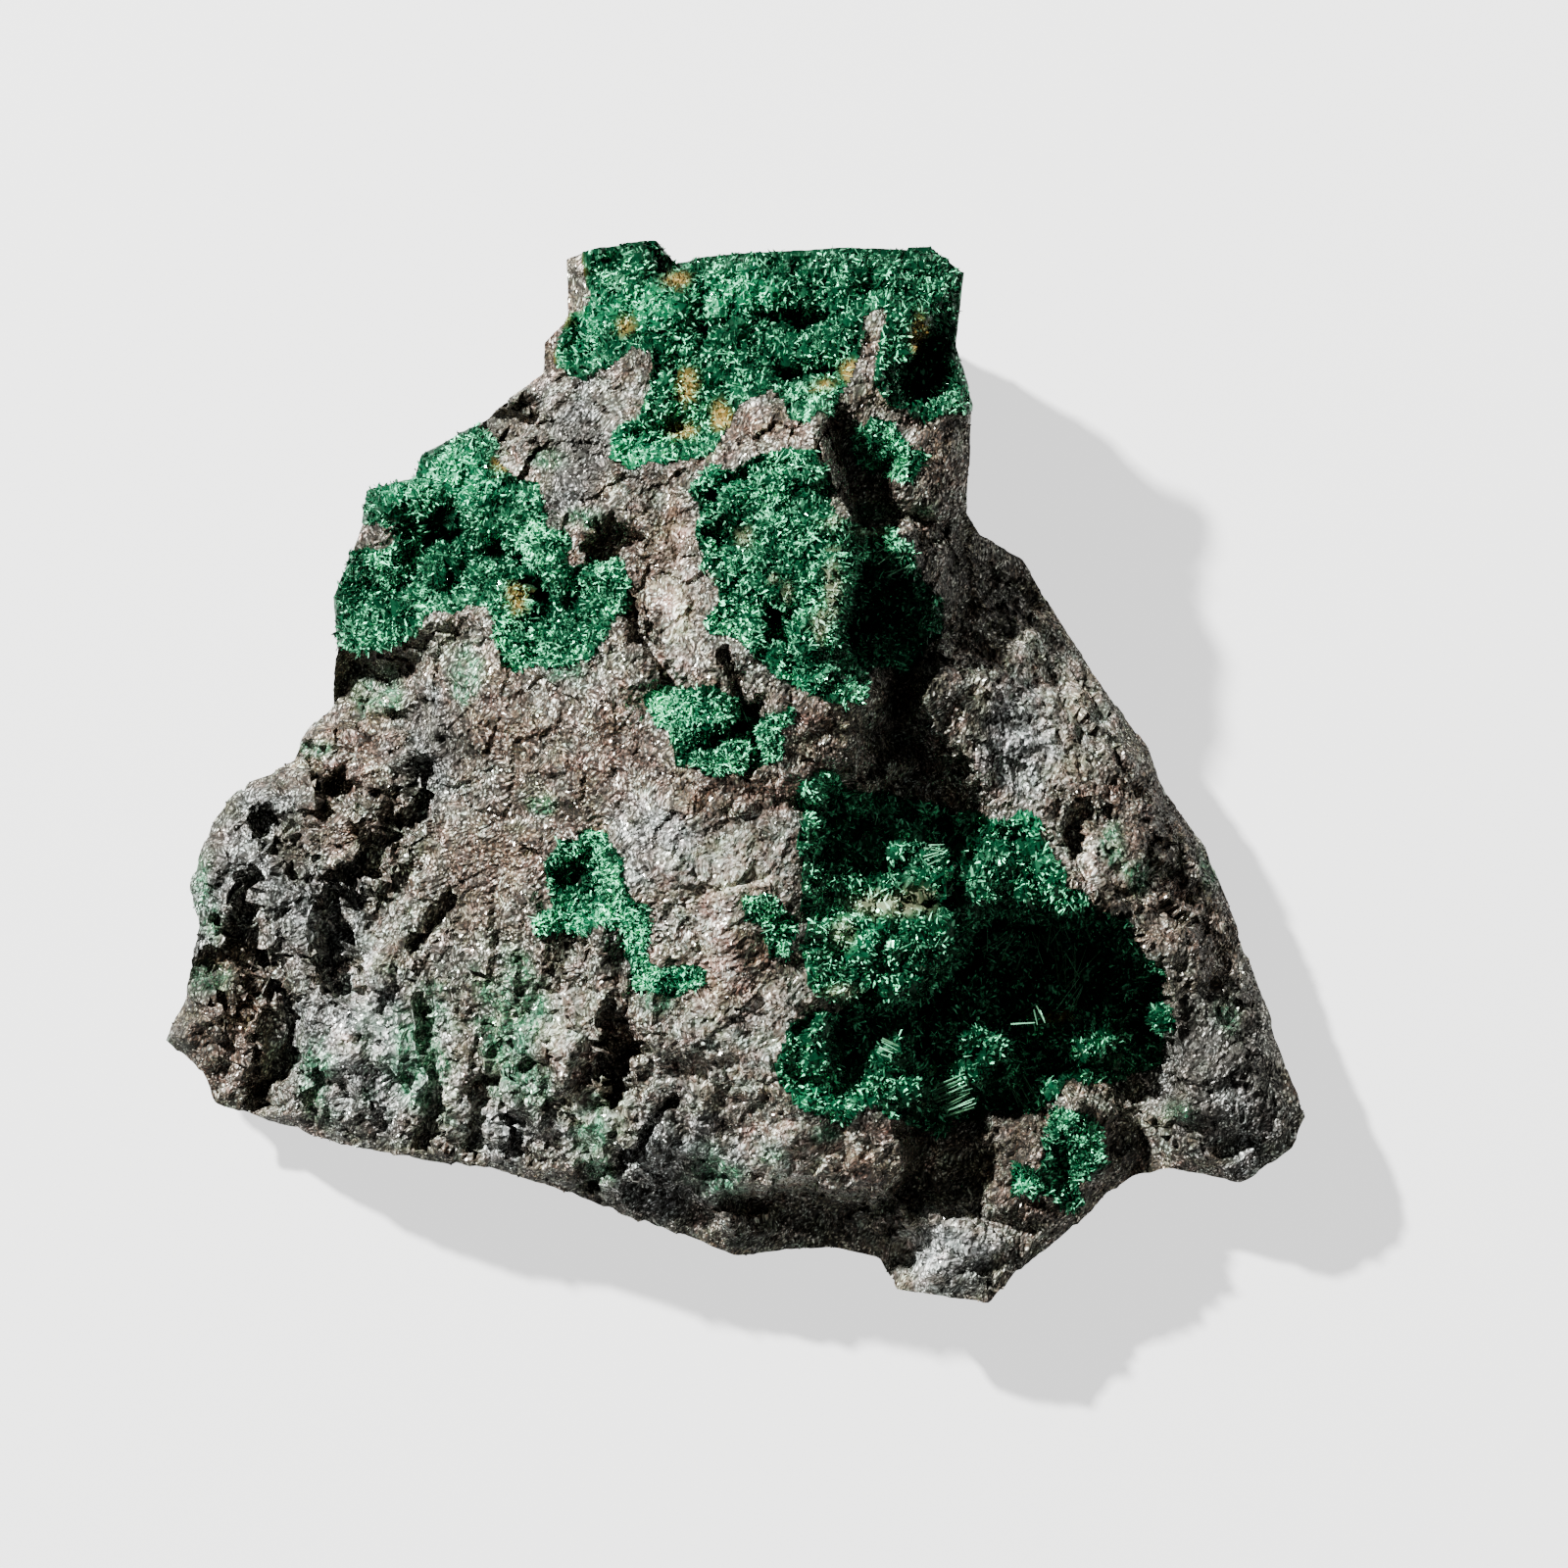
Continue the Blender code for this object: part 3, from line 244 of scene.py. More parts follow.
# Cracks and pits in the bare rock and small vugs in the druses: the line, half its width and its depth.
PITS = [
    ([(-10.6, 17.4), (-8.6, 18.8)], 1.2, 3.4), ([(-18.8, 27.2), (-16.8, 27.4)], 1.6, 6.0),
    ([(-8.2, 13.5), (-6.6, 10.0), (-5.0, 6.8)], 0.75, 3.0),
    ([(-0.6, 9.2), (0.8, 6.0), (2.0, 3.4)], 0.5, 2.2),
    ([(-24.6, 0.6), (-25.4, -3.4), (-27.8, -6.2), (-30.8, -7.8)], 0.9, 3.8),
    ([(-37.6, -2.8), (-36.2, -5.0), (-33.2, -8.0), (-31.6, -8.8)], 0.9, 3.6),
    ([(-31.6, -2.4), (-31.0, -1.2)], 1.1, 3.0),
    ([(-30.9, -10.6), (-31.9, -13.4), (-31.0, -16.0)], 1.4, 6.0),
    ([(-38.0, -8.8), (-38.4, -11.4)], 0.9, 4.0),
    ([(-25.0, -13.8), (-23.6, -11.6), (-22.4, -9.6)], 0.55, 2.2),
    ([(-24.9, -17.6), (-24.2, -20.6), (-23.2, -23.8), (-24.4, -28.8)], 0.5, 2.0),
    ([(-17.8, -25.6), (-17.4, -28.6)], 0.5, 2.0),
    ([(-20.0, -24.2), (-17.2, -23.6), (-14.4, -22.0)], 0.4, 1.6),
    ([(-13.2, -11.8), (-12.9, -14.4)], 0.5, 2.0), ([(-20.3, -24.6), (-20.5, -29.8)], 0.6, 2.6),
    ([(-8.9, -19.6), (-8.6, -21.6), (-9.8, -24.6)], 1.2, 4.5),
    ([(-5.0, -25.6), (-6.8, -28.6), (-11.6, -32.0)], 0.5, 2.0), ([(-33.8, 2.4), (-32.8, 0.8)], 0.7, 2.4),
    ([(27.2, -2.0), (26.8, -6.0)], 0.6, 2.2), ([(2.2, 35.6), (5.6, 35.6)], 1.7, 4.5),
    ([(-3.0, 36.2), (-2.4, 33.8)], 1.1, 4.0), ([(-11.0, 33.8), (-10.6, 33.0)], 1.1, 3.5),
    ([(15.2, 35.2), (15.0, 30.2)], 1.4, 3.5), ([(-5.0, 26.4), (-4.6, 27.0)], 0.9, 2.5),
    ([(4.6, 30.4), (5.6, 31.2)], 1.2, 3.0), ([(-5.6, 39.6), (-4.6, 39.0)], 1.3, 4.0),
    ([(-24.0, 19.2), (-20.4, 17.6)], 2.2, 5.0), ([(-14.4, 14.4), (-13.0, 12.8)], 1.8, 4.5),
    ([(-29.0, 14.8), (-27.2, 12.6)], 1.5, 4.0), ([(-25.8, 15.6), (-24.4, 16.2)], 1.1, 3.0),
    ([(-17.0, 17.4), (-16.6, 15.4)], 1.0, 3.0), ([(3.0, 12.8), (3.8, 10.6)], 1.5, 4.0),
    ([(-1.4, 17.8), (-0.6, 16.6)], 1.0, 3.0), ([(0.8, 4.2), (1.6, 2.4)], 1.5, 4.0),
    ([(11.2, 15.4), (11.2, 12.0)], 2.4, 4.0), ([(8.8, 10.6), (9.4, 9.8)], 1.3, 3.5),
    ([(1.2, 22.8), (2.2, 22.2)], 0.7, 2.5), ([(6.6, 23.0), (6.8, 20.8)], 0.8, 2.5),
    ([(5.6, 19.2), (6.6, 18.8)], 0.8, 2.5), ([(6.4, 17.4), (7.2, 17.0)], 0.5, 1.8),
    ([(2.0, 14.8), (2.4, 14.4)], 0.45, 1.6), ([(6.9, 14.6), (6.7, 12.6)], 0.4, 1.6),
    ([(3.4, 9.6), (5.0, 9.2)], 0.7, 2.2), ([(0.4, 12.6), (0.6, 12.0)], 0.4, 1.4),
    ([(-8.0, 36.6), (-8.6, 35.4)], 0.6, 2.0), ([(0.6, 33.0), (1.4, 32.0)], 0.6, 2.0),
    ([(9.6, 37.6), (10.6, 37.0)], 0.7, 2.2), ([(13.4, 33.6), (13.8, 31.6)], 0.7, 2.2),
    ([(-2.0, 29.4), (-2.4, 28.2)], 0.6, 2.0), ([(12.0, 24.6), (12.6, 24.0)], 0.5, 1.6),
    ([(-20.8, 23.0), (-19.6, 22.4)], 0.5, 1.6), ([(-15.2, 12.6), (-15.8, 11.4)], 0.6, 2.0),
    ([(-12.0, 15.2), (-11.0, 14.8)], 0.6, 2.0), ([(-10.4, -8.6), (-10.0, -9.6)], 0.8, 2.4),
    ([(-13.8, -7.4), (-13.2, -8.2)], 0.6, 2.0), ([(-1.6, 3.4), (-0.8, 2.6)], 0.6, 2.0),
    ([(25.8, -29.6), (26.2, -31.4)], 1.0, 3.0), ([(-12.2, -6.4), (-11.4, -7.0)], 1.1, 3.0),
    ([(6.8, -3.6), (6.8, -6.4)], 1.2, 3.0), ([(12.4, -3.6), (16.4, -4.6)], 1.4, 4.0),
    ([(7.4, -13.6), (8.2, -14.4)], 0.9, 2.5),
]
# The zone of loose lumps at the lower left, round the gully.
RUBBLE_ZONE = [(-46, -20), (-40, -24), (-33, -19), (-27, -16), (-22, -8), (-22, 2), (-24, 9), (-34, 10),
               (-46, 0)]
RUBBLE = 1.3                # height of the lumps in that zone
RUGGED = 0.45               # height of the unevenness all over
WANDER = 0.7                # how far creases wander to the side
BLOCKY = 0.55               # how far the blocks that the rock breaks in are shifted along its slopes
CRACK_RAGGED = 0.45         # how far the edges of cracks and pits wander
RIM_FADE = 3                # over this distance in from the outline the unevenness sets in

# The outline of each druse as seen from above. The rock lies lower under them by the druse's depth.
DRUSES = {
    "top": [(-11.6, 43), (17, 43), (20, 39.5), (19, 36), (19, 33.5), (20, 30.5), (20, 28.2), (14.6, 28),
            (12.2, 29), (10.8, 30.8), (11.4, 33.6), (12.4, 35.4), (11.6, 36.4), (10.3, 35.8), (9.4, 33),
            (8.8, 30.6), (7.6, 28.4), (6.2, 27), (4.2, 27.8), (2.2, 29.8), (1, 29.4), (0.2, 27), (-1.8, 25),
            (-5, 24.2), (-8.3, 23.7), (-9.9, 25), (-9.6, 26.9), (-7.2, 27.9), (-6.3, 30.5), (-6.7, 33.2),
            (-8.2, 33.9), (-10, 31.3), (-12.6, 31), (-14.2, 32), (-13.5, 34.2), (-12.9, 35.8),
            (-11.4, 36.6)],
    "neck": [(10.2, 27.5), (12.5, 27.2), (14.3, 25.5), (14.9, 24.5), (14, 22.8), (12, 23), (10.6, 24),
             (9.3, 25.6)],
    "left_shoulder": [(-26, 24.5), (-26, 26), (-21, 28.5), (-20, 27), (-19.2, 26), (-18.6, 24.6),
                      (-17, 23.4), (-15.3, 22.6), (-14.8, 20.5), (-14.6, 19), (-13.2, 17.8),
                      (-12.6, 16.4), (-10.5, 16.2), (-8.6, 16.4), (-8.2, 14.8), (-9, 12.5), (-9.8, 10.6),
                      (-11, 9), (-13.5, 8.2), (-15, 8.9), (-17, 8), (-18.3, 8.6), (-19.2, 11),
                      (-19, 12.8), (-21, 13.2), (-23.5, 12.8), (-24.2, 11.6), (-26, 10.6), (-29, 10),
                      (-33, 9.8), (-33, 14), (-31, 17), (-27.8, 17.6), (-26, 18.4), (-28, 19.6),
                      (-31, 20.5), (-30.5, 23.5)],
    "crest": [(-3.2, 20.5), (-3, 22.3), (-2, 23.7), (0.5, 23.6), (1.8, 24.8), (4, 25.4), (6.4, 25.2),
              (6.8, 23), (8.2, 20.3), (10, 19.2), (12, 19.1), (13.8, 17.8), (15, 15), (16.2, 13),
              (15.8, 10.5), (13.8, 8.3), (11.5, 8), (10.3, 7.8), (9.4, 5.6), (7.5, 5), (6, 6.2), (4.2, 7.6),
              (1.8, 9),
              (0, 10.6), (-2.2, 11.2), (-1.4, 14), (-2.4, 16), (-3, 18.3)],
    "saddle": [(-7, 5.6), (-5.8, 6.6), (-3, 6.5), (-0.6, 6.3), (0.4, 5), (2, 4.3), (4.4, 5.2), (4.2, 4),
               (3.2, 3), (4, 1.6), (2.6, 0.8), (1, 0.7), (-1.4, 0.2), (-4, 0.3), (-4.8, 1.5), (-4.8, 3.2),
               (-6.2, 4)],
    "great_hollow": [(5, -1.2), (6.5, 0.3), (8.6, 0.2), (9, -1), (13, -1.6), (17, -2.8), (21, -3),
                     (22.6, -2.4), (24, -3.2), (23.8, -5), (25.2, -7), (26.5, -8.8), (30, -11), (32.6, -14),
                     (33.8, -17), (34.6, -20), (33.5, -22.8), (30, -24.5), (28.2, -24.6), (26.6, -24.4),
                     (24.6, -26.2), (20.5, -26.6), (17.5, -27), (16.4, -28.6), (14.6, -28), (13.5, -27),
                     (11, -26), (8.4, -27), (5.4, -26.6), (4.2, -25), (3, -22.6), (4.2, -20), (6.5, -19),
                     (8.5, -18.2), (5.8, -16.6), (5.4, -13), (5.4, -9.5), (4.8, -7), (5, -4)],
    "hollow_rim": [(0.6, -9.4), (2.4, -9.2), (3.8, -10.8), (4.7, -11.5), (4.6, -14.3), (3.2, -14.2),
                   (2.4, -12.6), (0.8, -11.6)],
    "foot": [(24.8, -27.2), (26, -26.8), (28.5, -26.9), (29.4, -28.4), (28.6, -30), (28.2, -31.4),
             (27.4, -33), (26.4, -34.2), (25, -33), (23, -32.8), (21.4, -33.2), (22, -31.4), (23.6, -30.4),
             (24.2, -28.6)],
    "slope": [(-14.2, -5.2), (-12.6, -5.4), (-11.6, -4.6), (-10, -5), (-8.9, -6.2), (-8.8, -8.2), (-8, -9.6),
              (-7, -10.4), (-6.8, -12.5), (-7.2, -14.4), (-5.6, -15.2), (-2.2, -15.2), (-2.8, -16.8),
              (-5.6, -17), (-8, -16.8), (-8.6, -14.6), (-8.2, -12.6), (-10, -11.6), (-11.6, -12.6),
              (-13.4, -12.2), (-15.8, -12.4), (-16, -11), (-14.4, -10), (-14.6, -8)],
}
DRUSE_DEPTH = 1.5
DRUSE_SLOPE = 1.3          # over this distance in from its edge a druse gains its whole depth
RAGGED = 0.55              # how far a druse's edge wanders

CELLS = 270                # of the display side's mesh, across and up
SIDE_RINGS = 20            # rows of cells down the side wall
CRUST_VOIDS = 1.2          # depth to which the rock is open in the gaps of a druse
BREAKS = ((0, 1), (0.35, 0.995), (0.70, 0.945), (1.0, 0.87))   # share of the way down, and of the width
WALL_WAVE = 0.02           # how far the side wall's breaks wander, as a share of the rock's width
HASH = np.array([374761393, 668265263, 1442695041])


def lattice(cells, salt):
    """Repeatable random numbers from 0 to 1 for whole-number points: a hash of their coordinates. Each salt
    gives a different set, so no two patterns share one unless they are to match.
    """
    key = cells @ HASH[:cells.shape[-1]] + salt * 974711
    key = (key ^ (key >> 13)) * 1274126177 & 0xFFFFFFFF
    return ((key ^ (key >> 16)) & 0xFFFF) / 65535.0


def lattice_vectors(cells, salt):
    """A repeatable random vector from 0 to 1 for each whole-number point, with one salt for each axis."""
    return np.stack([lattice(cells, salt + axis) for axis in range(cells.shape[-1])], axis=-1)


def ripple(points, size, salt):
    """Smooth noise from -1 to 1: random values on a lattice of that size, in 2 or 3 dimensions, eased
    between its points.
    """
    scaled = points / size
    corner = np.floor(scaled).astype(np.int64)
    part = scaled - corner
    ease = part * part * (3 - 2 * part)
    value = 0.0
    for step in itertools.product((0, 1), repeat=points.shape[-1]):
        share = np.prod(np.abs(1 - np.array(step) - ease), axis=-1)
        value = value + share * lattice(corner + step, salt)
    return 2 * value - 1


def ripple_shift(xy, size, salt):
    """Smooth sideways shift from -1 to 1: one ripple for x and another for y."""
    return np.stack([ripple(xy, size, salt), ripple(xy, size, salt + 1)], axis=-1)


def nearest_seed(points, size, salt):
    """Voronoi pattern with one random seed in each lattice cell: for each point the cell of its nearest
    seed, the way from that seed to the point, and the distances to the nearest seed and the second nearest.
    """
    scaled = points / size
    corner = np.floor(scaled).astype(np.int64)
    first = np.full(points.shape[:-1], 9.0)
    second = first.copy()
    nearest, away = corner, scaled
    for step in itertools.product((-1, 0, 1), repeat=points.shape[-1]):
        cell = corner + step
        way = scaled - (cell + lattice_vectors(cell, salt))
        gap = np.linalg.norm(way, axis=-1)
        closer = (gap < first)[..., None]
        nearest = np.where(closer, cell, nearest)
        away = np.where(closer, way, away)
        second = np.minimum(second, np.maximum(first, gap))
        first = np.minimum(first, gap)
    return nearest, away, first, second


def knobs(points, size, salt):
    """Rounded lumps from 0 to 1 that meet in creases: the root of how much further off the second nearest
    seed is than the nearest.
    """
    _, _, first, second = nearest_seed(points, size, salt)
    return np.sqrt(np.clip(second - first, 0, 1))


def chips(points, size, salt):
    """Broken facets: inside each cell of a Voronoi pattern, the height of a plane tilted at random."""
    cell, away, _, _ = nearest_seed(points, size, salt)
    tilt = lattice_vectors(cell, salt + 5) * 2 - 1
    return (away * tilt).sum(axis=-1) + 0.4 * tilt[..., 0]


def block_shift(xy, size, salt):
    """Sideways shift from -1 to 1, one random vector for each cell of a Voronoi pattern, so that slopes
    break into blocks with steps between them.
    """
    cell, _, _, _ = nearest_seed(xy, size, salt)
    return lattice_vectors(cell, salt + 2) * 2 - 1


def distance_to_line(xy, line):
    """Distance from each point to a run of straight stretches."""
    nearest = np.full(xy.shape[:-1], np.inf)
    for start, end in zip(np.array(line[:-1], float), np.array(line[1:], float)):
        run = end - start
        along = np.clip(((xy - start) @ run) / (run @ run), 0, 1)
        nearest = np.minimum(nearest, np.linalg.norm(xy - start - along[..., None] * run, axis=-1))
    return nearest


def depth_inside(xy, outline):
    """Distance to a closed outline, above 0 inside it and below 0 outside."""
    gap = distance_to_line(xy, outline + outline[:1])
    inside = np.zeros(xy.shape[:-1], bool)
    for (x0, y0), (x1, y1) in zip(outline, outline[1:] + outline[:1]):
        if y0 != y1:
            reach = x0 + (xy[..., 1] - y0) * (x1 - x0) / (y1 - y0)
            inside ^= ((y0 > xy[..., 1]) != (y1 > xy[..., 1])) & (xy[..., 0] < reach)
    return np.where(inside, gap, -gap)


def smooth_step(value):
    """0 below 0, 1 above 1, and an S curve between."""
    value = np.clip(value, 0, 1)
    return value * value * (3 - 2 * value)


def survey_triangles():
    """The survey's points joined in triangles, with every crease and the outline kept as edges."""
    runs = [OUTLINE + OUTLINE[:1], *CREASES]
    points, edges, numbers = [], [], {}
    for run in runs:
        for point in run:
            if point[:2] not in numbers:
                numbers[point[:2]] = len(points)
                points.append(point)
        edges += [(numbers[start[:2]], numbers[end[:2]]) for start, end in zip(run, run[1:])]
    points += SPOTS
    flat = [Vector(point[:2]) for point in points]
    corners, _, faces, origin, _, _ = delaunay_2d_cdt(flat, edges, [], 0, 1e-4)
    cloud = np.array([(*corner, points[first[0]][2]) for corner, first in zip(corners, origin)])
    return cloud[np.array([face[:3] for face in faces])]


def survey_height(xy, triangles):
    """The survey's height at each point, on the flat triangle that it lies over."""
    height = np.zeros(xy.shape[:-1])
    nearest = np.full(xy.shape[:-1], -np.inf)
    for a, b, c in triangles:
        ab, ac, ap = b[:2] - a[:2], c[:2] - a[:2], xy - a[:2]
        area = ab[0] * ac[1] - ab[1] * ac[0]
        if abs(area) < 1e-6:
            continue
        wb = (ap[..., 0] * ac[1] - ap[..., 1] * ac[0]) / area
        wc = (ap[..., 1] * ab[0] - ap[..., 0] * ab[1]) / area
        least = np.minimum(np.minimum(wb, wc), 1 - wb - wc)
        height = np.where(least > nearest, a[2] + wb * (b[2] - a[2]) + wc * (c[2] - a[2]), height)
        nearest = np.maximum(nearest, least)
    return height


def display_height(xy):
    """Height of the display side, druses included: the survey with wandering creases and shifted blocks,
    plus noise of two sizes, plus lumps in the rubble zone, less its cracks and pits.
    """
    rim = smooth_step(depth_inside(xy, OUTLINE_XY) / RIM_FADE)
    sway = ripple_shift(xy, 5.0, 1) * WANDER
    sway = sway + BLOCKY * (block_shift(xy + 0.5 * sway, 2.9, 101) + 0.6 * block_shift(xy - sway, 1.5, 111))
    height = survey_height(xy + sway * rim[..., None], survey_triangles())
    height = height + RUGGED * rim * (ripple(xy, 3.2, 3) + ripple(xy, 7.0, 4))
    rubble = smooth_step(depth_inside(xy, RUBBLE_ZONE) / 4)
    height = height + RUBBLE * rim * rubble * ripple(xy, 3.4, 5)
    ragged = CRACK_RAGGED * ripple_shift(xy, 2.6, 8)
    ragged = ragged + 0.5 * block_shift(xy, 1.7, 121) + 0.3 * block_shift(xy, 0.9, 131)
    for line, half_width, depth in PITS:
        distance = distance_to_line(xy + ragged * min(half_width, 1.2), line) / half_width
        height = height - depth * smooth_step(1.4 - distance)
    return height


def outline_side(first, last):
    """Points at even steps along the outline, clockwise from one corner to another."""
    start, end = OUTLINE_XY.index(first), OUTLINE_XY.index(last)
    end += len(OUTLINE_XY) if end <= start else 0
    run = np.array((OUTLINE_XY + OUTLINE_XY)[start:end + 1], float)
    length = np.concatenate([[0], np.cumsum(np.linalg.norm(np.diff(run, axis=0), axis=1))])
    steps = np.linspace(0, length[-1], CELLS + 1)
    return np.stack([np.interp(steps, length, run[:, axis]) for axis in range(2)], axis=-1)


def display_grid():
    """The display side's mesh points as x and y, rows from below: the four sides of the outline blended
    across each other, which is a Coons patch.
    """
    top_left, top_right, low_right, low_left = CORNERS
    top = outline_side(top_left, top_right)
    right = outline_side(top_right, low_right)[::-1]
    low = outline_side(low_right, low_left)[::-1]
    left = outline_side(low_left, top_left)
    u = np.linspace(0, 1, CELLS + 1)[None, :, None]
    v = np.linspace(0, 1, CELLS + 1)[:, None, None]
    blend = (1 - v) * low[None] + v * top[None] + (1 - u) * left[:, None] + u * right[:, None]
    corners = ((1 - u) * (1 - v) * low[0] + u * (1 - v) * low[-1]
               + (1 - u) * v * top[0] + u * v * top[-1])
    return blend - corners


def edge_loop(grid):
    """The numbers of a grid's edge points, anticlockwise from its first."""
    rows, columns = grid
    number = np.arange(rows * columns).reshape(rows, columns)
    return np.concatenate([number[0, :-1], number[:-1, -1], number[-1, :0:-1], number[:0:-1, 0]])


def grid_faces(number, closed=False):
    """Four-cornered faces between neighbours in a table of point numbers, wrapped round if closed."""
    if closed:
        number = np.concatenate([number, number[:, :1]], axis=1)
    corners = [number[:-1, :-1], number[:-1, 1:], number[1:, 1:], number[1:, :-1]]
    return np.stack(corners, axis=-1).reshape(-1, 4)


def new_piece(name, points, faces, material, slot, nodes, **attributes):
    """A piece from points in millimetres and tables of faces, with one number a point in each attribute."""
    mesh = bpy.data.meshes.new(name)
    mesh.from_pydata(points * MM, [], [face for table in faces for face in table.tolist()])
    for label, values in attributes.items():
        layer = mesh.attributes.new(label, "FLOAT", "POINT")
        layer.data.foreach_set("value", np.asarray(values, np.float32))
    mesh.materials.append(material)
    piece = bpy.data.objects.new(name, mesh)
    bpy.context.scene.collection.objects.link(piece)
    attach(piece, "root")
    if nodes:
        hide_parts(*nodes)


def unit(vectors):
    """The vectors, each divided by its own length."""
    return vectors / np.maximum(np.linalg.norm(vectors, axis=1, keepdims=True), 1e-9)


def point_normals(points, faces):
    """Unit normals at the points: the sum of the normals of the faces that meet there, each as long as twice
    its face's area, which is the cross product of the face's diagonals or of a triangle's sides.
    """
    total = np.zeros_like(points)
    for table in faces:
        corners = points[table]
        area = np.cross(corners[:, 2] - corners[:, 0], corners[:, 3 % table.shape[1]] - corners[:, 1])
        for column in table.T:
            np.add.at(total, column, area)
    return unit(total)


def druse_depths(xy):
    """For each druse, how far each point lies inside its ragged edge."""
    ragged = xy + RAGGED * ripple_shift(xy, 1.7, 11)
    return {name: depth_inside(ragged, outline) for name, outline in DRUSES.items()}


def build_rock_surface():
    """The rock's whole surface: the display side as a grid of heights, less the druses' depths, the side
    wall as rings that shrink towards the middle, and the back as two rings and a fan. It returns points,
    faces and how far each grid point lies inside each druse.
    """
    xy = display_grid()
    height = display_height(xy)
    depths = druse_depths(xy)
    for depth in depths.values():
        height = height - DRUSE_DEPTH * smooth_step(depth / DRUSE_SLOPE)
    display = np.concatenate([xy, height[..., None]], axis=-1).reshape(-1, 3)
    loop = edge_loop(xy.shape[:2])
    rim = display[loop]
    middle = xy.mean(axis=(0, 1))
    levels = np.linspace(0, 1, SIDE_RINGS + 1)[1:]
    downs, widths = np.array(BREAKS).T
    wobble = [WALL_WAVE * ripple(rim[:, :2], 8.0, 6 + number) * (0 < down < 1)
              for number, down in enumerate(downs)]
    share = widths[:, None] + np.minimum(wobble, 0)
    side_share = np.stack([np.interp(levels, downs, share[:, column]) for column in range(len(rim))], axis=1)
    side_xy = middle + (rim[None, :, :2] - middle) * side_share[..., None]
    side_z = rim[None, :, 2] * (1 - levels[:, None])
    side = np.concatenate([side_xy, side_z[..., None]], axis=-1)
    back_share = np.linspace(1, 0, 4)[1:-1]
    back_xy = middle + (side_xy[-1] - middle) * back_share[:, None, None]
    back = np.concatenate([back_xy, np.zeros_like(back_xy[..., :1])], axis=-1)
    points = np.concatenate([display, side.reshape(-1, 3), back.reshape(-1, 3), [[*middle, 0]]])
    first = len(display)
    rings = first + np.arange((len(side) + len(back)) * len(loop)).reshape(-1, len(loop))
    wall = np.concatenate([loop[None], rings])
    fan = np.stack([np.roll(rings[-1], -1), rings[-1], np.full(len(loop), len(points) - 1)], axis=-1)
    number = np.arange(first).reshape(xy.shape[:2])
    return points, [grid_faces(number), grid_faces(wall[::-1], closed=True), fan], depths


rock_points, rock_faces, druse_depth = build_rock_surface()
display_count = (CELLS + 1) ** 2
ROCK_FACETS = ((3.3, 0.34, 81), (1.5, 0.15, 91), (0.75, 0.07, 51))     # size, height and salt


def rock_detail(points):
    """How far the broken surface stands out from its form: lumps and facets all over, knobs in the rubble
    zone, and facets drawn out downwards at the lower left and aslant on the right slope.
    """
    x, y, z = points.T
    rubble = smooth_step(depth_inside(points[:, :2], RUBBLE_ZONE) / 4)
    fibres = smooth_step((-4 - y) / 8) * smooth_step((2 - x) / 8)
    slope = smooth_step((x - 16) / 4) * smooth_step((16 - y) / 3)
    leaning = np.stack([x + y, y * 0.35 - x * 0.35, z], axis=1)
    lumps = 0.16 * ripple(points, 2.3, 21)
    broken = sum(height * chips(points, size, salt) for size, height, salt in ROCK_FACETS)
    coarse = rubble * (1.4 * (knobs(points, 3.0, 31) - 0.6) + 0.85 * chips(points, 2.4, 71))
    along = fibres * (0.72 * chips(points * [1, 0.25, 0.7], 1.9, 25)
                      + 0.18 * chips(points * [1, 0.2, 0.7], 0.9, 26)
                      + 0.22 * ripple(points * [1, 0.2, 0.6], 1.2, 24))
    streaks = slope * (0.50 * chips(leaning, 2.4, 141) + 0.12 * chips(leaning * [1.0, 2.0, 1.0], 1.0, 142))
    inner = smooth_step(depth_inside(points[:, :2], OUTLINE_XY) / 2)
    return (lumps + broken + along + streaks + coarse) * (0.3 + 0.7 * inner) * smooth_step(z / 2)


# Where the druses are open down to the rock. Each spot here and below has its middle x and y, then half its
# width and half its height.
CRUST_HOLLOWS = [
    (-22.4, 19.5, 2.2, 2.4), (-15.2, 13.8, 1.4, 1.5), (-18, 17.8, 0.9, 1.4), (-5.4, 38.8, 1.3, 0.6),
    (-2.6, 34.7, 1, 1.3), (3.2, 35.6, 1.9, 1.0), (4.4, 31.4, 1.8, 1.3), (14.5, 31, 2.3, 3),
    (14, 37, 1.2, 0.6), (-10.9, 33.1, 0.9, 0.9), (-4.4, 26.5, 1.2, 1.2), (0.4, 19, 1.3, 1.5),
    (3.2, 12, 1.4, 1.8), (-1.5, 22, 0.7, 1.4), (9, 11, 1.5, 2.6), (-0.5, 3.4, 1.5, 1.2),
    (-11.5, -8.3, 1.5, 1), (9.5, -4.5, 2, 1.6), (11.5, -7.5, 2, 1.2), (8, -20.5, 1, 1.6),
]


def spot_mask(points, spots, salt):
    """1 in the middle of any of the spots and 0 outside, with edges made ragged by noise of two sizes."""
    reach = np.full(len(points), 9.0)
    for x, y, half_x, half_y in spots:
        reach = np.minimum(reach, np.hypot((points[:, 0] - x) / half_x, (points[:, 1] - y) / half_y))
    ragged = 0.45 * ripple(points, 2.1, salt) + 0.25 * ripple(points, 0.8, salt + 1)
    return smooth_step(1.25 - reach + ragged)


def crust_voids(points):
    """1 where a druse is open down to the rock and 0 where it is whole: noise of two sizes past a threshold,
    or one of the hollows, and 0 along the outline.
    """
    rim = smooth_step(depth_inside(points[:, :2], OUTLINE_XY) / 1.5)
    pits = smooth_step(5 * (0.5 * ripple(points, 2.4, 69) + 0.5 * ripple(points, 1.0, 70)) - 0.6)
    return rim * np.maximum(pits, spot_mask(points, CRUST_HOLLOWS, 77))


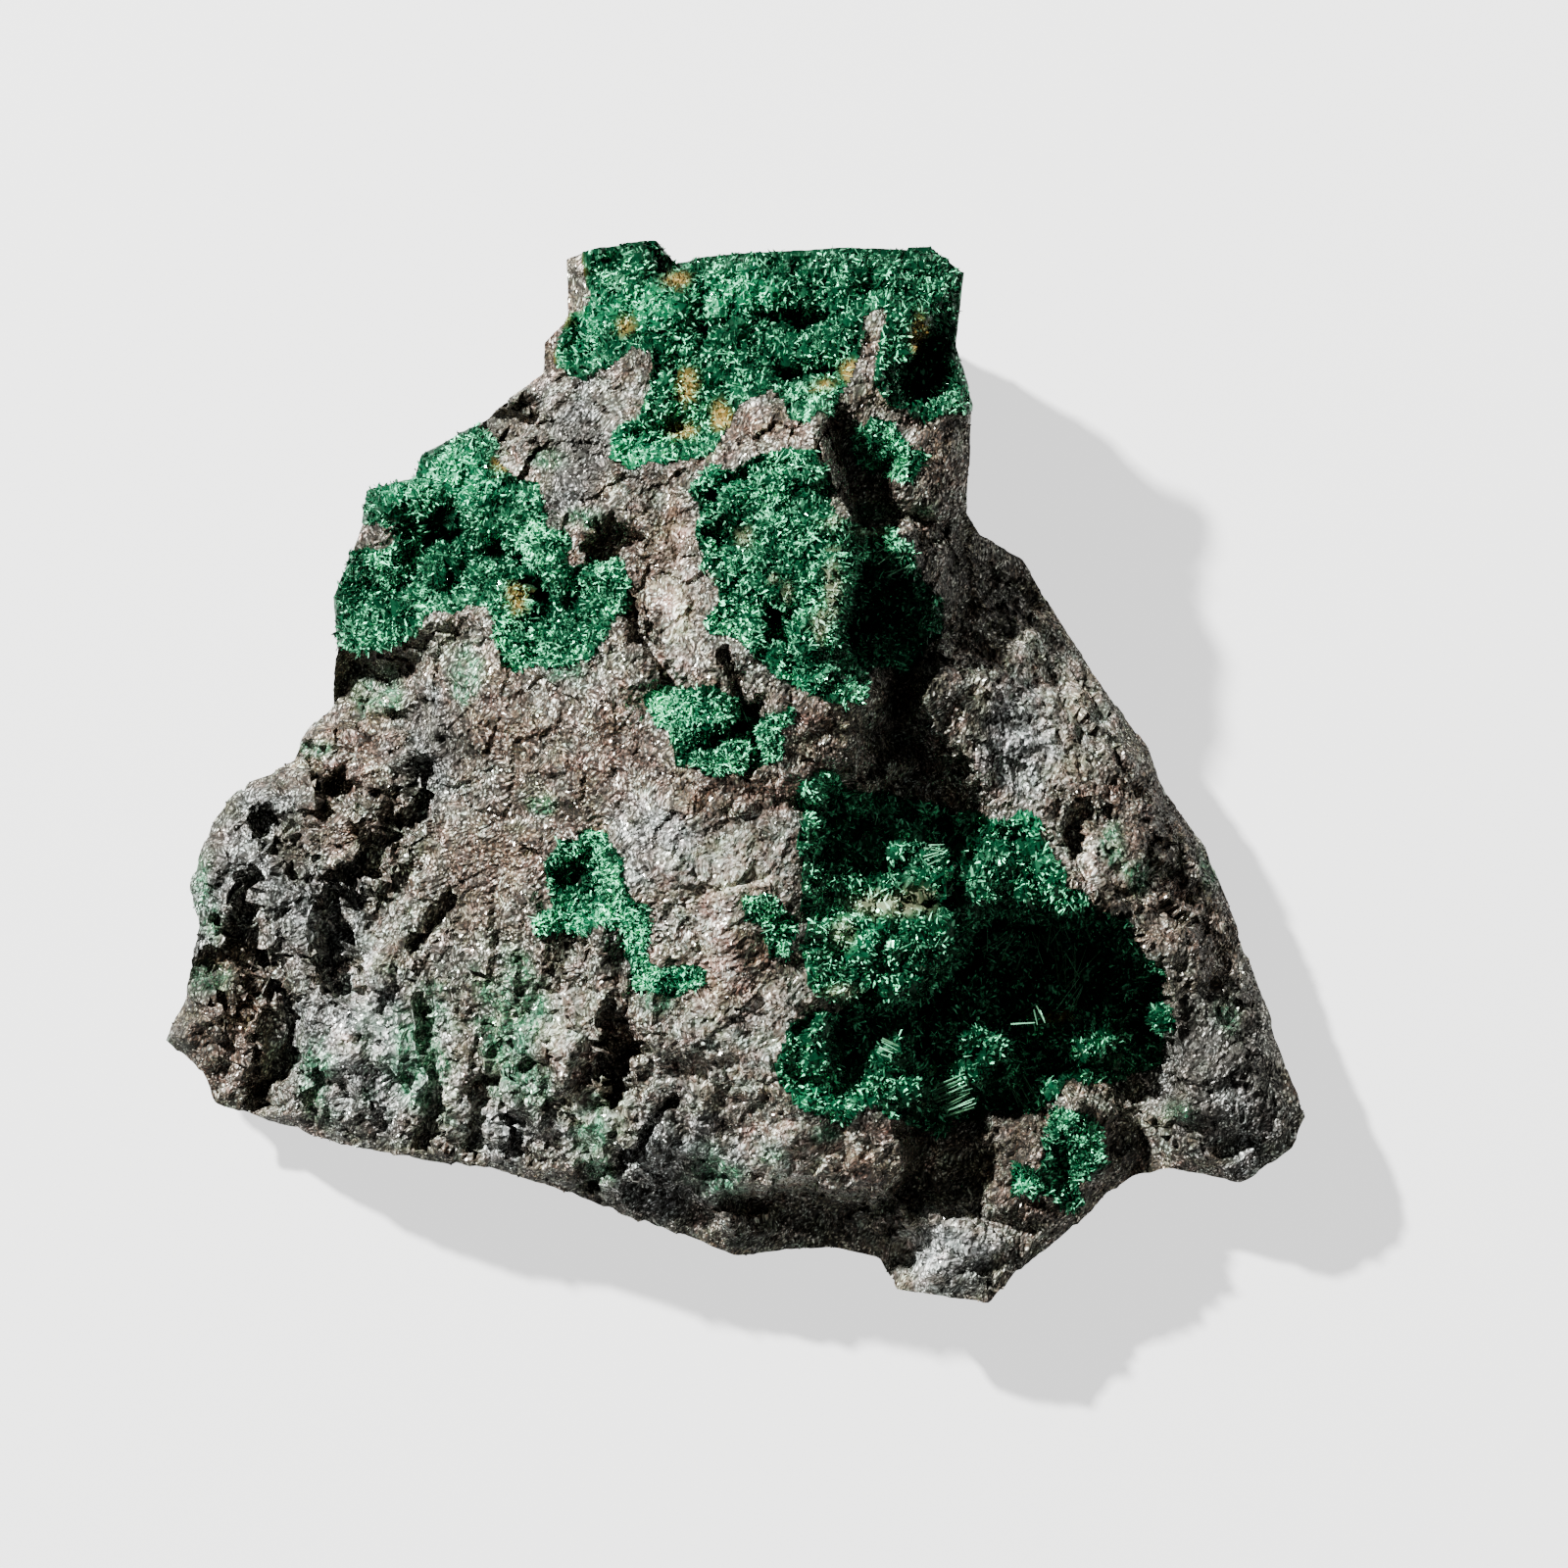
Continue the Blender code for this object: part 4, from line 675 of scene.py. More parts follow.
rock_normals = point_normals(rock_points, rock_faces)
detail = rock_detail(rock_points)
deepest = np.max(list(druse_depth.values()), axis=0)
under_crust = smooth_step(deepest.reshape(-1) / 0.8)
detail[:display_count] -= CRUST_VOIDS * under_crust * crust_voids(rock_points[:display_count])

# The side wall is broken inwards only, and not at its rim, so that the outline from above stays.
WALL_STEPS = 0.8
rim_height = rock_points[edge_loop(deepest.shape), 2]
wall_points = rock_points[display_count:display_count + SIDE_RINGS * len(rim_height)]
wall_z = wall_points[:, 2]
steps = (chips(wall_points * [1, 1, 0.7], 7.5, 161) + 0.45 * chips(wall_points, 3.2, 162)
         + 0.3 * ripple(wall_points, 1.6, 163))
fade = smooth_step((np.tile(rim_height, SIDE_RINGS) - wall_z) / 4) * smooth_step(wall_z / 2)
detail[display_count:display_count + len(wall_points)] -= WALL_STEPS * fade * (steps - steps.min())
rock_points = rock_points + rock_normals * detail[:, None]
# No piece stands past the frame's box.
BOX_LOW, BOX_HIGH = np.array(cad_low) / MM, np.array(cad_high) / MM
rock_points = np.clip(rock_points, BOX_LOW, BOX_HIGH)
rock_normals = point_normals(rock_points, rock_faces)

# Where the rock's colour changes: rusty brown, steel-grey, pale, filmed with green copper salts, or darkened
# as painted shade.
BROWN_SPOTS = [
    (33, -6, 4, 8), (37, -13, 3, 4), (-40, -16, 4, 3), (-41, -23, 4, 3), (-7.5, 16, 2.5, 6),
    (16, 25, 2, 5), (-9, -21, 2, 4), (-18, 4, 7, 5), (-20, -7, 4, 5), (28, -28.5, 3, 2),
    (-31, -4, 2.5, 2), (-5, 15, 2.5, 9), (3, 27, 5, 2.5), (0, -1, 7, 3), (-9, 1, 8, 6), (16, 24, 3, 5),
    (-1, -14, 5, 6), (10, -30, 4, 4), (-40, -20, 4, 5), (31, -1, 5, 2.5), (-14, 33.5, 2, 5),
    (6.5, 3, 3, 3), (13, 32, 3, 5), (24, -31, 5, 4), (34, -10, 4, 8), (-16, -6, 8, 5), (-11, 18, 3, 3),
    (22, -29, 2.5, 1.5), (-30, 1, 5, 5),
]
STEEL_SPOTS = [
    (-41, -8, 4, 5), (-34, -11, 4, 5), (-33, -21, 3, 6), (-37, -3, 3, 3), (-24, 2, 3, 5), (-6, -33, 5, 3),
    (-12, 27, 3, 6), (-31, -13, 3, 7), (-28, -22, 6, 8), (-7, -5, 4, 4), (22, 2, 3, 5), (17, -38, 5, 4),
    (39, -25, 5, 8), (-17, -28, 4, 3), (35, -22, 4, 5), (-44, -12, 3, 5), (-5, -30, 6, 5),
    (-38, -7, 4, 6), (-13, 24, 2, 5),
]
# Pale rock; some of these spots, such as the one on the right slope, which faces away from the lamp, also
# paint in light.
PALE_AND_PAINTED_LIGHT_SPOTS = [
    (-4.5, 14, 1.6, 8), (24, 4, 5, 8), (-26, -22, 6, 6), (17, -38, 4, 2), (-33, -12, 1.5, 3),
    (-29, -20, 4, 5), (16, -37.5, 5, 4), (-2, -22, 4, 5), (-14, -20, 3, 4), (18, -37, 4, 3),
    (-12, -27, 4, 3), (-28.5, -14, 1.2, 2), (-2, -12, 3, 8), (3, -20, 3, 4), (-4, -8, 5, 6),
    (0, -6, 4, 6), (4, -30, 6, 3), (-20, -26, 5, 4), (-17, 23.5, 3, 1.6), (6, -29, 5, 3),
    (10, -12.5, 5, 3), (8, -16, 3, 2), (-1.5, 20, 1.5, 4), (29, -7, 3, 4),
]
GREEN_SPOTS = [
    (-17.5, -19, 3.2, 6), (-25, -22, 3.6, 6), (29.7, -5.5, 1.2, 1.6), (32, -8, 2, 1.6),
    (37.4, -7.5, 1, 2), (-41.3, -11.5, 1.2, 2), (-41.5, -16, 2.2, 1.4), (-21, 8, 1.4, 2.4),
    (-1.5, -31.5, 2.4, 2.2), (-11, -28, 2, 2.6), (7.4, -28.2, 1.4, 0.8), (-11, -31, 2, 1.6),
    (-28, 6, 2.4, 2), (-33, -24, 1.6, 4), (-14.5, 24.5, 1.5, 1), (-16, -24, 2, 3), (-42, -9, 1, 3),
    (-33, 2, 1.5, 1), (-15, -2.5, 1.2, 1), (-13, 8, 2, 1), (-11.5, 20, 1.5, 1), (11, 20.5, 2, 1),
    (3, -30, 1.5, 1), (39, -19, 1.5, 1.5), (35, -26.5, 1.6, 1), (-6, -17.5, 2, 1.2), (15, 20.6, 1.6, 0.8),
]
# Painted shade: spots where the rock is darkened because shadow falls on it or it faces away from the lamp.
PAINTED_SHADE_SPOTS = [
    (36, -18, 4.5, 9), (20, 14, 5, 5), (22, -29, 3, 5), (-41, -17, 4, 2.5), (-35, -6, 2, 3),
    (-43, -20, 3, 3), (-18, 14, 2.5, 3), (-22, 17.5, 4, 3), (-29, 13, 3, 3), (7, 21.5, 1.5, 1.5),
    (14, 13, 3, 5), (-22.5, 4, 3, 3.5), (-36.5, 0, 3, 1.5), (-41, -6, 1.5, 4), (-33, -3, 2, 3),
    (-18, 28, 2.5, 1.5), (-27, 9, 3, 1.5), (15, 33, 2, 4), (16, 8, 1.5, 2.5), (34, -5, 3, 5),
    (36, -25, 3.5, 5), (40, -22, 4, 6), (18, 15, 4, 4), (30, -12, 2, 4), (-14, 12, 5, 2.5),
    (-42, -3, 3, 5), (20, -8, 1.5, 2), (-6, 39, 1.5, 1), (12.5, -26, 3, 1.5), (-13, 25, 3, 4),
    (-10, 36, 1, 1.5), (-13, -1, 1.5, 3), (-22, -11, 1, 2.5),
]


def rock_zones(points):
    """The rock's colour masks at the points, each from 0 to 1; "under" is rock that a druse covers, and
    "dark" holds the spots of painted shade.
    """
    deep = np.max(list(druse_depths(points[:, :2]).values()), axis=0)
    return {
        "under": smooth_step(deep / 0.5 + 0.2) * smooth_step((points[:, 2] - 5) / 3),
        "brown": spot_mask(points, BROWN_SPOTS, 41),
        "steel": spot_mask(points, STEEL_SPOTS, 43),
        "pale": spot_mask(points, PALE_AND_PAINTED_LIGHT_SPOTS, 45),
        "green": spot_mask(points, GREEN_SPOTS, 47),
        "dark": spot_mask(points, PAINTED_SHADE_SPOTS, 49),
    }


# ---- the rock's finish
def new_group(name, inputs, outputs):
    """An empty shader node group with number, colour or vector sockets, and its input and output nodes."""
    group = bpy.data.node_groups.new(name, "ShaderNodeTree")
    for label, kind in inputs.items():
        group.interface.new_socket(label, in_out="INPUT", socket_type=kind)
    for label, kind in outputs.items():
        group.interface.new_socket(label, in_out="OUTPUT", socket_type=kind)
    return group, group.nodes.new("NodeGroupInput"), group.nodes.new("NodeGroupOutput")


def set_inputs(tree, node, values):
    """Sets a node's inputs, by name or number, to values, or links them from sockets."""
    for label, value in values.items():
        if isinstance(value, bpy.types.NodeSocket):
            tree.links.new(value, node.inputs[label])
        else:
            node.inputs[label].default_value = value


def add_node(tree, kind, values=None, **settings):
    """A node with its settings and inputs."""
    node = tree.nodes.new(kind)
    for label, value in settings.items():
        setattr(node, label, value)
    set_inputs(tree, node, values or {})
    return node


def ramp(tree, factor, stops):
    """A colour ramp through stops of position and colour."""
    node = add_node(tree, "ShaderNodeValToRGB", {"Fac": factor})
    while len(node.color_ramp.elements) < len(stops):
        node.color_ramp.elements.new(1)
    for element, (position, colour) in zip(node.color_ramp.elements, stops):
        element.position = position
        element.color = (*colour, 1)
    return node.outputs["Color"]


def mix_colour(tree, factor, first, second, blend_type="MIX"):
    """One colour mixed into another."""
    return add_node(tree, "ShaderNodeMix", {0: factor, 6: first, 7: second}, data_type="RGBA",
                    blend_type=blend_type).outputs[2]


def arithmetic(tree, operation, first, second=0.0):
    """One Math node."""
    return add_node(tree, "ShaderNodeMath", {0: first, 1: second}, operation=operation).outputs[0]


def times(tree, first, second):
    """One number times another."""
    return arithmetic(tree, "MULTIPLY", first, second)


def stretch(tree, value, low, high):
    """0 up to the low value, 1 from the high value on, and even between them."""
    values = {"Value": value, "From Min": low, "From Max": high}
    return add_node(tree, "ShaderNodeMapRange", values).outputs["Result"]


def noise(tree, place, scale, detail, **more):
    """Cloudy noise from 0 to 1; its scale is in clouds a metre."""
    values = {"Vector": place, "Scale": scale, "Detail": detail, **more}
    return add_node(tree, "ShaderNodeTexNoise", values).outputs["Fac"]


def mask(tree, label):
    """The number that the mesh holds at each point under that name."""
    return add_node(tree, "ShaderNodeAttribute", attribute_name=label).outputs["Fac"]


def vector_math(tree, operation, first, second):
    """One Vector Math node; SCALE takes a number as its second input."""
    label = "Scale" if operation == "SCALE" else 1
    return add_node(tree, "ShaderNodeVectorMath", {0: first, label: second}, operation=operation).outputs[0]


COLOUR_MIDDLE = (0.5, 0.5, 0.5)


def grain_cells(tree, grain_size, lean, warp):
    """Crystal grains in a surface: the outputs of a Voronoi texture whose cells are warped by noise, turned
    by the lean and drawn out.
    """
    place = add_node(tree, "ShaderNodeTexCoord").outputs["Object"]
    eddies = add_node(tree, "ShaderNodeTexNoise", {"Vector": place, "Scale": 620.0, "Detail": 1.0})
    eddies = vector_math(tree, "SUBTRACT", eddies.outputs["Color"], COLOUR_MIDDLE)
    eddies = vector_math(tree, "SCALE", eddies, warp)
    warped = vector_math(tree, "ADD", place, eddies)
    turned = add_node(tree, "ShaderNodeVectorRotate", {"Vector": warped, "Angle": lean})
    drawn = vector_math(tree, "MULTIPLY", turned.outputs[0], (1.0, 0.5, 0.8))
    scale = arithmetic(tree, "DIVIDE", 1.0, grain_size)
    return add_node(tree, "ShaderNodeTexVoronoi", {"Vector": drawn, "Scale": scale}, feature="F1").outputs


def build_facet_group():
    """The grains as facets: each has a random number and its own tilt of the surface, and the gap between
    grains is 1.
    """
    number, vector = "NodeSocketFloat", "NodeSocketVector"
    group, given, result = new_group(
        "grain_facets", {"Grain Size": number, "Tilt": number, "Lean": number, "Warp": number},
        {"Random": number, "Gap": number, "Normal": vector})
    cells = grain_cells(group, given.outputs["Grain Size"], given.outputs["Lean"], given.outputs["Warp"])
    parts = add_node(group, "ShaderNodeSeparateColor", {"Color": cells["Color"]}).outputs
    tilt = vector_math(group, "SUBTRACT", cells["Color"], COLOUR_MIDDLE)
    tilt = vector_math(group, "SCALE", tilt, given.outputs["Tilt"])
    leaning = vector_math(group, "ADD", tilt, add_node(group, "ShaderNodeNewGeometry").outputs["Normal"])
    normal = add_node(group, "ShaderNodeVectorMath", {0: leaning}, operation="NORMALIZE").outputs[0]
    gap = stretch(group, cells["Distance"], 0.38, 0.62)
    set_inputs(group, result, {"Random": parts[0], "Gap": gap, "Normal": normal})
    return group


facet_group = build_facet_group()


def add_facets(tree, grain_size, tilt, lean=0.0, warp=0.0):
    """The outputs of the grains' group, for a grain size and a warp in millimetres."""
    node = add_node(tree, "ShaderNodeGroup", node_tree=facet_group)
    set_inputs(tree, node, {"Grain Size": grain_size * MM, "Tilt": tilt, "Lean": lean, "Warp": warp * MM})
    return node.outputs


def polished_grains(tree, threshold, grain_size, lean=0.0, warp=0.0):
    """1 on the grains whose second random number is above the threshold, else 0. It is made in the material
    itself, because it also drives the specular level, which a group's output may not.
    """
    cells = grain_cells(tree, grain_size * MM, lean, warp * MM)
    parts = add_node(tree, "ShaderNodeSeparateColor", {"Color": cells["Color"]}).outputs
    return arithmetic(tree, "GREATER_THAN", parts[1], threshold)


def new_material(name):
    """A material, its node tree and its shader."""
    material = bpy.data.materials.new(name)
    material.use_nodes = True
    return material, material.node_tree, material.node_tree.nodes["Principled BSDF"]


def build_rock_material(name, grain_size, tilt, ior):
    """Granular rock. Each grain takes its colour from a ramp of dark to pale, by its own random number and
    a cloudy noise; the palest grains are partly painted glints. There is a ramp for plain, brown, steel-grey
    and green rock, mixed by drifts of noise and the mesh's masks, some of which paint in light and shade.
    Gaps between grains are painted nearly black as painted shade, stains and hairline seams are nearly black
    too, and some grains glint like metal.
    """
    material, tree, shader = new_material(name)
    grains = add_facets(tree, grain_size, tilt, lean=0.5, warp=1.6)
    coarse = add_facets(tree, grain_size * 3.1, tilt)
    place = add_node(tree, "ShaderNodeTexCoord").outputs["Object"]
    cloud = arithmetic(tree, "SUBTRACT", noise(tree, place, 420.0, 5.0), 0.30)
    random = arithmetic(tree, "ADD", times(tree, grains["Random"], 0.80), times(tree, cloud, 0.70))
    # The palest stop of each ramp stands partly for pale grains and partly for painted glints, which stay
    # bright whichever way a grain faces.
    plain = ramp(tree, random, [(0.16, (0.005, 0.0045, 0.003)), (0.38, (0.034, 0.031, 0.024)),
                                (0.58, (0.112, 0.104, 0.083)), (0.74, (0.26, 0.245, 0.205)),
                                (0.85, (0.58, 0.57, 0.50)), (0.94, (0.97, 0.97, 0.90))])
    brown = ramp(tree, random, [(0.18, (0.010, 0.005, 0.003)), (0.40, (0.052, 0.028, 0.020)),
                                (0.60, (0.138, 0.082, 0.061)), (0.74, (0.285, 0.190, 0.150)),
                                (0.85, (0.60, 0.49, 0.41)), (0.94, (0.97, 0.91, 0.83))])
    steel = ramp(tree, random, [(0.14, (0.007, 0.008, 0.008)), (0.34, (0.038, 0.041, 0.040)),
                                (0.54, (0.130, 0.139, 0.139)), (0.70, (0.30, 0.318, 0.315)),
                                (0.80, (0.62, 0.65, 0.64)), (0.90, (0.95, 0.98, 0.99))])
    green = ramp(tree, random, [(0.15, (0.004, 0.022, 0.012)), (0.50, (0.032, 0.135, 0.072)),
                                (0.75, (0.13, 0.36, 0.22)), (0.90, (0.55, 0.80, 0.62))])

    # brown in drifts and in its own areas, then the steel-grey, pale and green areas, and the painted shade
    drift = times(tree, arithmetic(tree, "SUBTRACT", coarse["Random"], 0.5), 0.5)
    drift = arithmetic(tree, "ADD", noise(tree, place, 190.0, 3.0, Roughness=0.6), drift)
    browner = arithmetic(tree, "MAXIMUM", times(tree, stretch(tree, drift, 0.52, 0.66), 0.55),
                         times(tree, mask(tree, "brown"), 0.85))
    colour = mix_colour(tree, browner, plain, brown)
    colour = mix_colour(tree, times(tree, mask(tree, "steel"), 0.8), colour, steel)
    # Lighter in the pale spots: pale rock, and in some spots painted light.
    pale = add_node(tree, "ShaderNodeGamma", {"Color": colour, "Gamma": 0.68}).outputs[0]
    colour = mix_colour(tree, mask(tree, "pale"), colour, pale)
    patchy = times(tree, mask(tree, "green"), arithmetic(tree, "ADD", coarse["Random"], 0.45))
    colour = mix_colour(tree, times(tree, patchy, 0.9), colour, green)
    # Painted shade: the colour is multiplied down in the spots of painted shade.
    painted_shade = times(tree, mask(tree, "dark"), 0.85)
    colour = mix_colour(tree, painted_shade, colour, (0.26, 0.24, 0.21, 1), "MULTIPLY")

    # a tinge from greenish to reddish and one from warm to cool, both weaker on steel-grey rock
    tinge = ramp(tree, noise(tree, place, 560.0, 4.0, Roughness=0.7),
                 [(0.34, (0.78, 1.0, 0.88)), (0.46, (0.92, 1.0, 0.94)),
                  (0.56, (1.0, 0.96, 0.92)), (0.68, (1.0, 0.74, 0.70))])
    cool = add_node(tree, "ShaderNodeTexNoise", {"Vector": place, "Scale": 390.0, "Detail": 4.0,
                                                 "Roughness": 0.7, "W": 3.0}, noise_dimensions="4D")
    cool = ramp(tree, cool.outputs["Fac"], [(0.38, (1.0, 0.98, 0.82)), (0.50, (1.0, 0.99, 0.98)),
                                            (0.62, (0.91, 0.96, 1.0))])
    tinge = mix_colour(tree, 1.0, tinge, cool, "MULTIPLY")
    tinged = arithmetic(tree, "SUBTRACT", 1.0, times(tree, mask(tree, "steel"), 0.6))
    colour = mix_colour(tree, tinged, colour, tinge, "MULTIPLY")
    # Painted shade: rock under a druse is nearly black green, so that the druse's open gaps look shaded.
    colour = mix_colour(tree, mask(tree, "under"), colour, (0.002, 0.012, 0.006, 1))

    # painted shade in the gaps between grains, and stains and hairline seams, all weaker on pale rock
    stain = stretch(tree, noise(tree, place, 620.0, 4.0, Roughness=0.7), 0.47, 0.36)
    seam = arithmetic(tree, "SUBTRACT", noise(tree, place, 900.0, 3.0, Distortion=0.8), 0.5)
    seam = stretch(tree, arithmetic(tree, "ABSOLUTE", seam), 0.028, 0.008)
    dark = arithmetic(tree, "MAXIMUM", times(tree, grains["Gap"], 0.85), times(tree, stain, 0.55))
    dark = arithmetic(tree, "MAXIMUM", dark, times(tree, seam, 0.8))
    dark = times(tree, dark, arithmetic(tree, "SUBTRACT", 1.0, times(tree, mask(tree, "pale"), 0.5)))
    colour = mix_colour(tree, dark, colour, (0.010, 0.009, 0.008, 1))

    glint = polished_grains(tree, 0.78, grain_size, lean=0.5, warp=1.6)
    metal = times(tree, glint, arithmetic(tree, "ADD", times(tree, mask(tree, "steel"), 0.5), 0.35))
    set_inputs(tree, shader, {
        "Base Color": colour,
        "Roughness": arithmetic(tree, "SUBTRACT", 0.62, times(tree, glint, 0.37)),
        "Specular IOR Level": arithmetic(tree, "ADD", 0.12, times(tree, glint, 0.75)),
        "Metallic": metal,
        "Normal": grains["Normal"],
        "IOR": ior,
        "Specular Tint": (1.0, 1.0, 0.90, 1),
    })
    return material


rock_material = build_rock_material("host_rock_broken", grain_size=0.14, tilt=0.95, ior=1.5)
rock_masks = rock_zones(rock_points)
rock_masks["under"][display_count:] = 0         # the side walls and the back are bare
new_piece("host_rock_body", rock_points, rock_faces, rock_material, "host_rock", ["host_rock"], **rock_masks)

# ====================================================================================================
# Loose-looking grains of the rock: quartz and ore grains that stand half out of its broken surface, because
# the rock parts along their boundaries. They carry the fine sparkle and the rough edge of the outline.
# ====================================================================================================
GRAIN_COUNT = 24000
GRAIN_SIZE = (0.08, 0.20)
GRAIN_STANDING = (-0.35, 0.25)      # how far a grain's middle stands out, in its own sizes
WALL_GRAINS = 0.35                  # how thick grains stand on the side wall, against bare rock above


def scatter(points, faces, weights, count, random):
    """Random places on four-cornered faces, more on large faces and on those with more weight: each place,
    its normal and its face's number.
    """
    corners = points[faces]
    normal = np.cross(corners[:, 2] - corners[:, 0], corners[:, 3] - corners[:, 1])
    area = np.linalg.norm(normal, axis=1) * weights
    chosen = random.choice(len(faces), count, p=area / area.sum())
    a, b = random.random((2, count, 1))
    corners = corners[chosen]
    low = corners[:, 0] * (1 - a) + corners[:, 1] * a
    high = corners[:, 3] * (1 - a) + corners[:, 2] * a
    return low * (1 - b) + high * b, unit(normal[chosen]), chosen


def unit_vectors(count, random):
    """Directions spread evenly over the sphere."""
    return unit(random.normal(size=(count, 3)))


def across(axis, random):
    """Two unit vectors square to each axis and to each other, at a random turn about it."""
    side = unit(np.cross(axis, unit_vectors(len(axis), random)))
    return side, np.cross(axis, side)


def grain_solids(centres, sizes, random):
    """Eight-faced grains of uneven proportions, each turned its own way: points and three-cornered faces."""
    axis = unit_vectors(len(centres), random)
    side, other = across(axis, random)
    lengths = sizes[:, None] * random.uniform((0.7, 0.5, 0.35), (1.3, 1.0, 0.8), (len(centres), 3))
    arms = [axis * lengths[:, :1], side * lengths[:, 1:2], other * lengths[:, 2:]]
    points = np.stack([centres + sign * arm for arm in arms for sign in (1, -1)], axis=1)
    pattern = np.array([(0, 2, 4), (2, 1, 4), (1, 3, 4), (3, 0, 4),
                        (2, 0, 5), (1, 2, 5), (3, 1, 5), (0, 3, 5)])
    faces = (pattern[None] + 6 * np.arange(len(centres))[:, None, None]).reshape(-1, 3)
    return points.reshape(-1, 3), faces


def cell_means(values):
    """The mean of each grid cell's four corners."""
    return (values[:-1, :-1] + values[1:, :-1] + values[1:, 1:] + values[:-1, 1:]) / 4


display_cells, wall_cells, _ = rock_faces
bare = (cell_means(deepest) < 0.1).reshape(-1) * 1.0
wall_height = rock_points[wall_cells][:, :, 2].mean(axis=1)
grain_weights = np.concatenate([bare, WALL_GRAINS * smooth_step((wall_height - 1.0) / 2)])
bed_cells = np.concatenate([display_cells, wall_cells])
random = np.random.default_rng(101)
grain_centres, grain_normals, _ = scatter(rock_points, bed_cells, grain_weights, GRAIN_COUNT, random)
grain_sizes = random.uniform(*GRAIN_SIZE, GRAIN_COUNT) * random.uniform(0.5, 1, GRAIN_COUNT)
standing = grain_sizes * random.uniform(*GRAIN_STANDING, GRAIN_COUNT)
grain_centres = grain_centres + grain_normals * standing[:, None]
grain_points, grain_faces = grain_solids(grain_centres, grain_sizes, random)
grain_points = np.clip(grain_points, BOX_LOW + [0, 0, 0.02], BOX_HIGH)
grain_masks = rock_zones(grain_points)
grain_masks["under"][:] = 0
grain_material = build_rock_material("host_rock_grains", grain_size=0.20, tilt=0.3, ior=1.6)
new_piece("host_rock_grains", grain_points, [grain_faces], grain_material, "host_rock", [], **grain_masks)

# ====================================================================================================
# Druses: crusts of brochantite that grew on the walls of the rock's hollows. Each is a lumpy green base with
# thousands of short chisel-ended crystals standing on it at all angles, and is one piece.
# ====================================================================================================
CRYSTALS_PER_MM2 = 30
CRYSTAL_LENGTH = (0.04, 0.26)
CRYSTAL_WIDTH = (0.16, 0.40)
BLADE_SHARE = 0.10                                          # of the crystals, longer and slimmer
PAINTED_GLINT_SHARE = 0.03                                         # of the crystals, painted as light as can be: painted glints
CRUST_THIN = 0.10                                           # the base's least thickness
CRUST_ROOT = 0.1                                            # how deep the base sits in the rock
CRUST_LUMPS = ((2.3, 0.85, 61), (1.1, 0.60, 62), (0.65, 0.30, 63))     # the base's: size, height and salt
CRYSTAL_FACET = 0.22
TRIANGLE_LIMIT = 195000                                     # for one druse
CRYSTAL_TRIANGLES = 6


def crystal_solids(feet, axes, lengths, widths, random):
    """Stout prisms, each a root under the surface and four corners round its end, which is cut off by a
    slanting face: points, three-cornered faces and four-cornered faces.
    """
    side, other = across(axes, random)
    length, width = lengths[:, None], widths[:, None]
    slant = random.uniform(-0.9, 0.9, (2, len(feet), 1)) * width
    flat = random.uniform(0.45, 1.0, (len(feet), 1))
    corners = [feet + axes * (length + slant[0] * a + slant[1] * b)
               + side * width / 2 * a + other * width / 2 * flat * b
               for a, b in ((0.5, 0.5), (-0.5, 0.5), (-0.5, -0.5), (0.5, -0.5))]
    points = np.stack([feet - axes * (length + 0.3), *corners], axis=1)
    three = np.array([(0, 2, 1), (0, 3, 2), (0, 4, 3), (0, 1, 4)])
    four = np.array([(1, 2, 3, 4)])
    first = 5 * np.arange(len(feet))[:, None, None]
    return points.reshape(-1, 3), (three + first).reshape(-1, 3), (four + first).reshape(-1, 4)


def crust_shell(name):
    """A druse's lumpy base, closed: the rock's cells inside its edge, an upper side raised from them along
    the normals by knobs of three sizes, except in its open places, and walls between the two. It returns
    points, faces with the upper ones first, their count, and the rise and the openness at each point.
    """
    depth = druse_depth[name]
    inside = cell_means(depth) > 0
    lower, normals = rock_points[:display_count], rock_normals[:display_count]
    edge = smooth_step(depth.reshape(-1))
    lumps = sum(height * knobs(lower, size, salt) for size, height, salt in CRUST_LUMPS)
    notch = 0.5 + 0.5 * ripple(lower, 1.5, 66)
    lumps = lumps * smooth_step(depth_inside(lower[:, :2], OUTLINE_XY) / 0.9 - notch)
    void = crust_voids(lower)
    upper = lower + normals * (CRUST_THIN + lumps * edge * (1 - void))[:, None]
    cells = grid_faces(np.arange(display_count).reshape(depth.shape)).reshape(inside.shape + (4,))
    padded = np.pad(inside, 1)
    sides = {(0, 1): padded[:-2, 1:-1], (1, 2): padded[1:-1, 2:], (2, 3): padded[2:, 1:-1],
             (3, 0): padded[1:-1, :-2]}
    walls = []
    for (start, end), beyond in sides.items():
        ends = cells[inside & ~beyond][:, [start, end]]
        walls.append(np.concatenate([ends, ends[:, ::-1] + display_count], axis=1))
    top = cells[inside] + display_count
    bottom = cells[inside][:, ::-1]
    used, faces = np.unique(np.concatenate([top, bottom, *walls]), return_inverse=True)
    points = np.concatenate([lower - normals * CRUST_ROOT, upper])[used]
    place = used % display_count
    rise = lumps / sum(height for _, height, _ in CRUST_LUMPS) + 0.4 * (1 - edge)
    return points, faces.reshape(-1, 4), len(top), rise[place], void[place]


